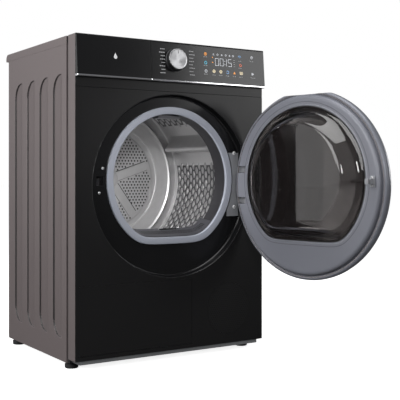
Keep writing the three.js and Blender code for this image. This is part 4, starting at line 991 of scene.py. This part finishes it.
def door_glazing():
    """The bright trim round the outer glass, and the glass itself with its rounded edge."""
    inside = GLASS_RADIUS - 8
    trim = [(inside, -22.3), (RIM_RADIUS - 2.3, -22.3), (RIM_RADIUS - 1.9, -24), (GLASS_RADIUS + 1.6, -26),
            (GLASS_RADIUS + 0.5, -27), (inside, -27), (inside, -22.3)]
    piece("door_rim_trim", flat_topped(spun(trim, DOOR_Z)), PALE_EDGE, "door",
          ["door_trim_ring"], turn=OPEN_TURN)
    glass = [(0, -27.3), (GLASS_RADIUS, -27.3), (GLASS_RADIUS - 0.6, -29.4), (GLASS_RADIUS - 2.2, -31.4),
             (GLASS_RADIUS - 6, -33.2), (200, -35.8), (100, -37.1), (0, -37.5)]
    piece("door_outer_glass", flat_topped(spun(glass, DOOR_Z)), FINISHES["smoked_glass"], "door",
          ["door_glass"], turn=OPEN_TURN)


door_inner_ring()
door_outer_ring()
door_glazing()


def bowl():
    """The see-through bowl that closes the mouth, with a rolled rim and a shallow rib along its foot."""
    def row(shrink, flat_shrink, y):
        return flat_round(WINDOW_RADIUS - shrink, WINDOW_FLAT - flat_shrink, y, WINDOW_Z)
    deep = DOOR_FACE + 42
    outside = [row(0.6, 2.4, -5.9), row(0.6, 2.4, 1.2), row(3, 4.4, 3.2), row(8, 10, 4.2), row(12, 12.6, 6.2),
               row(17, 16.6, 9), row(20.5, 19, 13.5), row(27, 24, 23), row(34, 28.6, 33), row(39, 32, 40.5),
               row(43.5, 35, 45), row(49, 40, 47.6), row(60, 50, deep), row(100, 84, deep + 0.6)]
    inside = [row(102, 86, deep - 2.6), row(62, 52, deep - 3.2), row(50, 41, deep - 3.6), row(45, 37, 41),
              row(41, 34, 36), row(36, 31, 29), row(29, 26, 19), row(24, 22, 10), row(20, 18, 3),
              row(13, 12, -5.9)]
    bm, inner = skinned(outside), skinned(inside)
    for shell in (bm, inner):
        mouth = [edge for edge in shell.edges if edge.is_boundary and edge.verts[0].co.y > 40]
        bmesh.ops.contextual_create(shell, geom=mouth)
    face_outwards(inner)
    bmesh.ops.reverse_faces(inner, faces=inner.faces)
    bmesh.ops.recalc_face_normals(bm, faces=bm.faces)
    absorb(bm, inner)
    bmesh.ops.bridge_loops(bm, edges=[edge for edge in bm.edges if edge.is_boundary])
    piece("door_window_bowl", bm, FINISHES["smoked_bowl"], "door", ["door_bowl"],
          turn=OPEN_TURN, smooth=45)


bowl()


def window_band(name, grow_in, grow_out, y, depth, material):
    """A thin band that follows the window's outline on the door's inner face."""
    face = y + depth
    rows = [window_loop(grow_out, y), window_loop(grow_out - 0.4, face),
            window_loop(grow_in + 0.4, face), window_loop(grow_in, y)]
    piece(name, skinned(rows, closed=True), material, "door", turn=OPEN_TURN)


def door_flange_line():
    """A fine warm line where the door's two halves meet."""
    hoop = [(244.6, -6), (245.2, -4.9), (245.2, -3.9), (246.6, -3.7), (247.0, -4.9), (246.2, -6),
            (244.6, -6)]
    piece("door_flange_line", flat_topped(spun(hoop, DOOR_Z)), TRIM_BROWN, "door", turn=OPEN_TURN)


window_band("window_gasket", -1.2, 1.8, 3.0, 3.6, GASKET)
window_band("window_seam", 11.6, 13.2, 5.0, 1.12, DARK_GROOVE)
window_band("window_bright_edge", 4.4, 5.8, 5.0, 1.3, PALE_EDGE)
door_flange_line()


# ======== fastenings ========

SLOT_HALF = 0.45


def screw(name, x, y, z, radius, body, turn=None, axis="-Y"):
    """A domed cross-head screw whose head stands off a flat face."""
    reach = radius * 0.55
    head = [(0, -1.9), (reach, -1.7), (radius * 0.85, -1.1), (radius, -0.2), (radius, 0), (0, 0)]
    bm = spun(head, steps=24)
    face_outwards(bm)
    if axis == "+Y":
        bmesh.ops.rotate(bm, cent=(0, 0, 0), matrix=Matrix.Rotation(math.pi, 3, "Z"), verts=bm.verts)
    bmesh.ops.translate(bm, vec=(x, y, z), verts=bm.verts)
    piece(name, bm, SCREW_STEEL, body, turn=turn)
    slots = bmesh.new()
    side = 1 if axis == "+Y" else -1
    y0, y1 = sorted((y + side * 1.2, y + side * 2.0))
    bar(slots, x - reach, x + reach, y0, y1, z - SLOT_HALF, z + SLOT_HALF)
    bar(slots, x - SLOT_HALF, x + SLOT_HALF, y0, y1, z - reach, z + reach)
    piece(name + "_cross", slots, DARK_HOLE, body, turn=turn)


screw("hinge_screw_top", HINGE.x - 17, 16.5, 570, 5.2, "cabinet")
screw("hinge_screw_foot", HINGE.x - 17, 16.5, 415, 5.2, "cabinet")
screw("latch_screw_top", -210, RECESS_DEPTH, 524.5, 3.6, "cabinet")
screw("latch_screw_foot", -220, RECESS_DEPTH, 460, 3.6, "cabinet")
screw("hook_screw_top", LATCH_X, DOOR_FACE + 3.3, LATCH_Z + 10.5, 2.4, "door", OPEN_TURN, "+Y")
screw("hook_screw_foot", LATCH_X, DOOR_FACE + 3.3, LATCH_Z - 10.5, 2.4, "door", OPEN_TURN, "+Y")


# ======== console ========

def lean_y(z):
    """Where the leaning console front is at a height."""
    return -CONSOLE_LIP + (z - CONSOLE_Z) * math.tan(LEAN)


MARK_SINK, MARK_PROUD = 0.15, 0.12


def mark(bm, points):
    """A printed or lit mark: a thin flat shape laid on the leaning console front."""
    before = set(bm.faces)
    outline_plate(bm, [(x, lean_y(z) + MARK_SINK, z) for x, z in points], (0, -MARK_SINK - MARK_PROUD, 0))
    bmesh.ops.recalc_face_normals(bm, faces=[face for face in bm.faces if face not in before])


def box_mark(bm, x0, x1, z0, z1):
    mark(bm, [(x0, z0), (x1, z0), (x1, z1), (x0, z1)])


def around(x, z, radius, angle):
    """The point at an angle on a circle about (x, z)."""
    return x + radius * math.cos(angle), z + radius * math.sin(angle)


def dot_mark(bm, x, z, radius, sides=10):
    mark(bm, [around(x, z, radius, 2 * math.pi * k / sides) for k in range(sides)])


def ring_mark(bm, x, z, radius, width, start=0, sweep=360, steps=16):
    """A ring or part of one, as short thick strokes."""
    for k in range(steps):
        a = math.radians(start + sweep * k / steps)
        b = math.radians(start + sweep * (k + 1) / steps)
        mark(bm, [around(x, z, radius - width, a), around(x, z, radius, a),
                  around(x, z, radius, b), around(x, z, radius - width, b)])


SEGMENTS = {"0": "abcdef", "1": "bc", "5": "afgcd"}
STROKE, STROKE_GAP = 0.95, 0.5


def digit(bm, figure, x, z, width, height):
    """A seven-bar figure with its lower left corner at (x, z)."""
    middle = z + height / 2
    gap, stroke = STROKE_GAP, STROKE
    bars = {
        "a": (x + gap, x + width - gap, z + height - stroke, z + height),
        "g": (x + gap, x + width - gap, middle - stroke / 2, middle + stroke / 2),
        "d": (x + gap, x + width - gap, z, z + stroke),
        "f": (x, x + stroke, middle + gap, z + height - gap),
        "b": (x + width - stroke, x + width, middle + gap, z + height - gap),
        "e": (x, x + stroke, z + gap, middle - gap),
        "c": (x + width - stroke, x + width, z + gap, middle - gap),
    }
    for name in SEGMENTS[figure]:
        box_mark(bm, *bars[name])


DASH_HEIGHT, DASH_SHARE = 1.5, 0.72


def label(bm, x, z, width, words):
    """A tiny caption, drawn as plain dashes."""
    step = width / words
    for k in range(words):
        left = x - width / 2 + k * step
        box_mark(bm, left, left + step * DASH_SHARE, z, z + DASH_HEIGHT)


def lit(name, material, draw):
    bm = bmesh.new()
    draw(bm)
    piece(name, bm, material, "cabinet", flip=False)


PROGRAMME_FOOT, PROGRAMME_PITCH = 783, 9.3
PROGRAMME_LENGTHS = (17, 13, 18, 12, 16, 14, 19, 15)
PROGRAMME_LEFT, PROGRAMME_RIGHT = -37, 40
WORD_HALF, WORD_GAP = 1.1, 1.2


def draw_programmes(bm):
    """The names on both sides of the knob, three dashes each, ending or starting level."""
    for row, length in enumerate(PROGRAMME_LENGTHS):
        z = PROGRAMME_FOOT + row * PROGRAMME_PITCH
        for start in (PROGRAMME_LEFT - length, PROGRAMME_RIGHT):
            for k in range(3):
                left = start + k * length / 3
                box_mark(bm, left, left + length / 3 - WORD_GAP, z - WORD_HALF, z + WORD_HALF)


lit("programme_names", PRINT_GREY_GLOWING, draw_programmes)


def draw_time(bm):
    for figure, x, width in (("0", 126, 12), ("0", 142, 12), ("1", 157, 8), ("5", 170, 12)):
        digit(bm, figure, x, 814.5, width, 21)
    dot_mark(bm, 159, 829, 1.1)
    dot_mark(bm, 159, 820, 1.1)
    for k, x in enumerate((121, 135, 149, 163, 176, 188)):
        if k % 2:
            ring_mark(bm, x, 846, 2.8, 0.9, steps=12)
        else:
            box_mark(bm, x - 2.6, x + 2.6, 843.6, 844.8)
            box_mark(bm, x - 1.7, x + 1.7, 846.4, 847.6)
    ring_mark(bm, 254, 846, 4.0, 1.0, start=125, sweep=290)
    box_mark(bm, 253.5, 254.5, 846, 851)
    mark(bm, [(254.4, 794.5), (254.4, 801.5), (259.6, 798)])
    box_mark(bm, 251.4, 252.5, 794.5, 801.5)
    ring_mark(bm, 94, 797, 4.2, 1.2)


lit("time_display", LIT_WHITE, draw_time)


def draw_warm(bm):
    for x in (121, 144):
        ring_mark(bm, x, 798, 4.6, 1.4)
        dot_mark(bm, x, 798, 1.6)
    for k in range(3):
        box_mark(bm, 209, 220, 794.2 + k * 3.2, 795.6 + k * 3.2)


def draw_orange(bm):
    ring_mark(bm, 94, 845, 4.6, 1.5)
    dot_mark(bm, 94, 845, 1.8)
    mark(bm, [(187, 794), (195, 794), (191, 801.5)])
    dot_mark(bm, 117.5, 837, 1.7)
    dot_mark(bm, 117.5, 823, 1.7)


def draw_teal(bm):
    ring_mark(bm, 94, 820.5, 4.6, 1.5)


def draw_blue(bm):
    for k in range(3):
        ring_mark(bm, 211, 841.5 + k * 0.2, 1.8 + k * 2.4, 1.0, start=30, sweep=120, steps=8)
    ring_mark(bm, 167.5, 798, 4.6, 1.3, start=200, sweep=300)


def draw_red(bm):
    ring_mark(bm, 213, 821, 4.0, 1.3)


def draw_captions(bm):
    for x in (121, 144, 167.5, 191, 214.5):
        label(bm, x, 786.5, 13, 2)
    for z in (836, 811.5, 787.5):
        label(bm, 94, z, 14, 2)
    label(bm, 254, 834, 14, 2)
    label(bm, 256.5, 786.5, 18, 3)
    for k in range(4):
        label(bm, 192, 815 + k * 6, 6, 1)
    label(bm, 212, 832, 12, 2)
    label(bm, 212, 812, 12, 2)


lit("warm_symbols", LIT_WARM, draw_warm)
lit("orange_symbols", LIT_ORANGE, draw_orange)
lit("teal_symbol", LIT_TEAL, draw_teal)
lit("blue_symbols", LIT_BLUE, draw_blue)
lit("red_symbol", LIT_RED, draw_red)
lit("captions", PRINT_GREY_GLOWING, draw_captions)


DROP_X, DROP_Z, DROP_RADIUS, DROP_REACH = -188, 815, 5.0, 2.2
DROP_STEPS = 24


def drawer_symbol():
    """A small filled water drop, point up, on the water drawer's front."""
    bm = bmesh.new()
    shoulder = math.acos(1 / DROP_REACH)
    start, sweep = math.pi / 2 + shoulder, 2 * math.pi - 2 * shoulder
    points = []
    for k in range(DROP_STEPS + 1):
        points.append(around(DROP_X, DROP_Z, DROP_RADIUS, start + sweep * k / DROP_STEPS))
    points.append((DROP_X, DROP_Z + DROP_RADIUS * DROP_REACH))
    mark(bm, points)
    piece("drawer_symbol", bm, PRINT_WHITE_GLOWING, "water_drawer", flip=False)


drawer_symbol()

lit("console_seam_shadow", DARK_HOLE,
    lambda bm: box_mark(bm, SPLIT_X + 0.2, SPLIT_X + 1.5, CONSOLE_Z + 4, TOP - 4))


KNOB_RIDGES = 72


def knob():
    """The turned knob: a dark skirt, a knurled side darkened with painted shade, a polished bevel and a
    brushed face.
    """
    turn = Matrix.Translation((KNOB_X, lean_y(KNOB_Z), KNOB_Z)) @ Matrix.Rotation(math.pi - LEAN, 4, "X")
    skirt = spun([(0, 0.4), (31, 0.4), (31, 2.2), (30.4, 3.4), (29.6, 4.2), (0, 4.2)], steps=96)
    piece("knob_skirt", skirt, FINISHES["black_moulding"], "programme_knob",
          ["programme_knob"], turn=turn)
    side = spun([(28.9, 4.0), (29.2, 5), (29.2, 15.6), (28.9, 16.4), (27.6, 17.6), (0, 17.6), (0, 4.0),
                 (28.9, 4.0)], steps=120)
    piece("knob_grip", side, KNOB_SIDE_SHADE, "programme_knob", turn=turn)
    ridges = bmesh.new()
    for k in range(KNOB_RIDGES):
        step = Matrix.Rotation(2 * math.pi * k / KNOB_RIDGES, 3, "Y")
        before = set(ridges.verts)
        bar(ridges, 28.8, 29.8, 5.4, 15.4, -0.55, 0.55)
        bmesh.ops.rotate(ridges, cent=(0, 0, 0), matrix=step, verts=added(ridges, before))
    piece("knob_ridges", ridges, KNOB_SIDE_SHADE, "programme_knob", turn=turn)
    face = spun([(0, 17.4), (26.4, 17.4), (27.6, 17.5), (27.9, 18.4), (27.0, 18.9), (25.6, 18.9),
                 (25.0, 18.2), (12, 18.0), (0, 18.0), (0, 17.4)], steps=120)
    turned_sheen(piece("knob_face", face, KNOB_FACE, "programme_knob", turn=turn))
    pointer = bmesh.new()
    bar(pointer, -0.8, 0.8, 18.15, 18.45, -23.5, -15.5)
    piece("knob_pointer", pointer, GASKET, "programme_knob", turn=turn)


def turned_sheen(obj):
    """Gives the knob's face the fan-shaped sheen of turned metal: its brushing runs round the middle."""
    layer = obj.data.uv_layers.new(name="turning")
    centre = ORIGIN + Vector((KNOB_X, lean_y(KNOB_Z), KNOB_Z)) * MM
    for face in obj.data.polygons:
        middle = math.atan2(face.center.z - centre.z, face.center.x - centre.x)
        for loop_index in face.loop_indices:
            spot = obj.data.vertices[obj.data.loops[loop_index].vertex_index].co
            across, up = spot.x - centre.x, spot.z - centre.z
            radius = math.hypot(across, up)
            angle = math.atan2(up, across) if radius > 1e-5 else middle
            if angle - middle > math.pi:
                angle -= 2 * math.pi
            if angle - middle < -math.pi:
                angle += 2 * math.pi
            layer.data[loop_index].uv = (angle / (2 * math.pi), radius * 30)
    tree = obj.data.materials[0].node_tree
    nodes, link = tree.nodes, tree.links.new
    tangent = nodes.new("ShaderNodeTangent")
    tangent.direction_type = "UV_MAP"
    tangent.uv_map = "turning"
    surface = nodes["Principled BSDF"]
    surface.inputs["Anisotropic"].default_value = 0.75
    link(tangent.outputs["Tangent"], surface.inputs["Tangent"])


knob()


# ======== vent grille and lint cover holes ===

def grille():
    """The round air outlet: a field of small round holes in the front."""
    bm = bmesh.new()
    disc_field(bm, 6.5, 13, 13, 1.55, 8, (GRILLE_X, -0.08, GRILLE_Z),
               lambda x, z: math.hypot(x, z) <= GRILLE_RADIUS - 5)
    piece("grille_holes", bm, DARK_HOLE, "cabinet", flip=False)


grille()


LINT_SLOPE, LINT_FRONT, LINT_RISE = 23, 24.8, 38.7


def lint_holes():
    """Three rows of small oval holes along the slope of the lint cover."""
    bm = bmesh.new()
    for share in (0.38, 0.54, 0.70):
        y = LINT_FRONT + share * LINT_RISE
        for x, depth, z in cover_row(-1.7 - 7.9 * share, -2.7 - 16.4 * share, y, half_angle=43, count=46):
            made = bmesh.ops.create_circle(bm, cap_ends=True, segments=8, radius=1.7)["verts"]
            bmesh.ops.scale(bm, vec=(1, 1.5, 1), verts=made)
            bmesh.ops.rotate(bm, cent=(0, 0, 0), matrix=Matrix.Rotation(math.radians(LINT_SLOPE), 3, "X"),
                             verts=made)
            lean = math.atan2(x, MOUTH_Z - z) if abs(x) > 90 else 0
            bmesh.ops.rotate(bm, cent=(0, 0, 0), matrix=Matrix.Rotation(-lean, 3, "Y"), verts=made)
            bmesh.ops.translate(bm, vec=(x * 0.997, depth, z + 0.4), verts=made)
    piece("lint_holes", bm, DARK_HOLE, "lint_filter", flip=False)


lint_holes()


# ======== rear ========

LOUVRE_WIDTH = 120


def rear_details():
    """Screws round the rear sheet, two rows of louvres and a raised panel."""
    y = SIDE_DEPTH - 1.8
    spots = [(x, z) for x in (-280, 280) for z in (60, 260, 460, 660, 830)]
    spots += [(x, z) for z in (835, 40) for x in (-90, 90)]
    for index, (x, z) in enumerate(spots):
        screw(f"rear_screw_{index + 1}", x, y, z, 4.2, "cabinet", axis="+Y")
    panel = bmesh.new()
    bar(panel, -170, 170, y - 0.4, y + 1.6, 340, 680, 1.2)
    piece("rear_embossed_panel", panel, FINISHES["galvanised_sheet"], "cabinet")
    louvres, slots = bmesh.new(), bmesh.new()
    for x in (-150, 10):
        for z in range(110, 290, 20):
            bar(louvres, x, x + LOUVRE_WIDTH, y - 0.3, y + 1.4, z, z + 7, 0.7, 1)
            bar(slots, x + 2, x + LOUVRE_WIDTH - 2, y - 0.2, y + 0.25, z - 2.6, z)
    piece("rear_louvres", louvres, FINISHES["galvanised_sheet"], "cabinet")
    piece("rear_louvre_slots", slots, DARK_HOLE, "cabinet")


rear_details()


# ======== studio ========

def show_when_seen(tree, seen, otherwise, output):
    """Uses one shader for what is seen directly or through glass, and the other for all else."""
    nodes, link = tree.nodes, tree.links.new
    path = nodes.new("ShaderNodeLightPath")
    direct = nodes.new("ShaderNodeMath")
    direct.operation = "MAXIMUM"
    link(path.outputs["Is Camera Ray"], direct.inputs[0])
    link(path.outputs["Is Transmission Ray"], direct.inputs[1])
    mixed = nodes.new("ShaderNodeMixShader")
    link(direct.outputs[0], mixed.inputs[0])
    link(otherwise.outputs[0], mixed.inputs[1])
    link(seen.outputs[0], mixed.inputs[2])
    link(mixed.outputs[0], output.inputs["Surface"])


def studio_floor():
    """A plain white floor that throws little light back."""
    floor = bmesh.new()
    bmesh.ops.create_grid(floor, x_segments=2, y_segments=2, size=30)
    mesh = bpy.data.meshes.new("studio_floor")
    floor.to_mesh(mesh)
    floor.free()
    ground = bpy.data.objects.new("studio_floor", mesh)
    bpy.context.scene.collection.objects.link(ground)
    paint = bpy.data.materials.new("studio_floor")
    paint.use_nodes = True
    nodes = paint.node_tree.nodes
    surface = nodes["Principled BSDF"]
    surface.inputs["Base Color"].default_value = (0.9, 0.9, 0.9, 1)
    surface.inputs["Roughness"].default_value = 0.9
    surface.inputs["Specular IOR Level"].default_value = 0.1
    surface.inputs["Emission Color"].default_value = (1, 1, 1, 1)
    surface.inputs["Emission Strength"].default_value = 0.86
    quiet = nodes.new("ShaderNodeBsdfDiffuse")
    quiet.inputs["Color"].default_value = (0.1, 0.1, 0.1, 1)
    show_when_seen(paint.node_tree, surface, quiet, nodes["Material Output"])
    mesh.materials.append(paint)


def studio_world():
    """A white surround that lights the scene only dimly."""
    world = bpy.data.worlds.new("studio")
    bpy.context.scene.world = world
    world.use_nodes = True
    nodes = world.node_tree.nodes
    back = nodes["Background"]
    back.inputs["Color"].default_value = (1, 1, 1, 1)
    back.inputs["Strength"].default_value = 1.0
    dim = nodes.new("ShaderNodeBackground")
    dim.inputs["Color"].default_value = (0.96, 0.97, 1, 1)
    dim.inputs["Strength"].default_value = 0.16
    show_when_seen(world.node_tree, back, dim, nodes["World Output"])


def hang(name, data, location, target=None):
    """Hangs a lamp, aimed at a target, where neither the camera nor glass shows it."""
    lamp = bpy.data.objects.new(name, data)
    lamp.location = location
    if target:
        lamp.rotation_euler = (Vector(target) - Vector(location)).to_track_quat("-Z", "Y").to_euler()
    lamp.visible_camera = False
    lamp.visible_transmission = False
    bpy.context.scene.collection.objects.link(lamp)
    return lamp


def soft_light(name, location, target, size, power):
    data = bpy.data.lights.new(name, "AREA")
    data.shape = "RECTANGLE"
    data.size, data.size_y = size
    data.energy = power
    hang(name, data, location, target)


def mouth_spot():
    """A narrow spot into the drum's mouth."""
    data = bpy.data.lights.new("mouth_spot", "SPOT")
    data.energy = 66
    data.spot_size = math.radians(13)
    data.spot_blend = 0.25
    data.shadow_soft_size = 0.12
    hang("mouth_spot", data, (-0.75, -1.5, 0.95), (0.02, 0.2, 0.47))


def drum_glow():
    """A small lamp inside the drum that leaves no highlight of its own."""
    data = bpy.data.lights.new("drum_glow", "POINT")
    data.energy = 2.1
    data.shadow_soft_size = 0.09
    hang("drum_glow", data, (-0.05, 0.12, 0.46)).visible_glossy = False


studio_floor()
studio_world()
soft_light("left_softbox", (-3.2, -0.6, 1.9), (0, 0, 0.5), (2.2, 2.2), 84)
soft_light("top_softbox", (-0.4, -0.6, 3.2), (0, -0.1, 0.5), (2.6, 1.6), 70)
soft_light("front_right_card", (2.7, -3.0, 1.55), (0.2, 0, 0.7), (1.2, 1.6), 24)
soft_light("mouth_fill", (-0.9, -2.2, 1.1), (0, 0.3, 0.5), (0.5, 0.5), 16)
mouth_spot()
soft_light("back_left_card", (-4.0, 1.9, 0.8), (0.3, -0.3, 0.5), (6.4, 4.4), 95)
drum_glow()

camera_data = bpy.data.cameras.new("camera")
camera_data.lens = 76.9
camera_data.sensor_width = 36
camera_data.shift_y = -0.062
camera = bpy.data.objects.new("camera", camera_data)
camera.location = (-1.2384, -2.0041, 0.5066)
camera.rotation_euler = (math.radians(90), 0, math.radians(-33))
bpy.context.scene.collection.objects.link(camera)
bpy.context.scene.camera = camera
bpy.context.scene.view_settings.view_transform = "Standard"
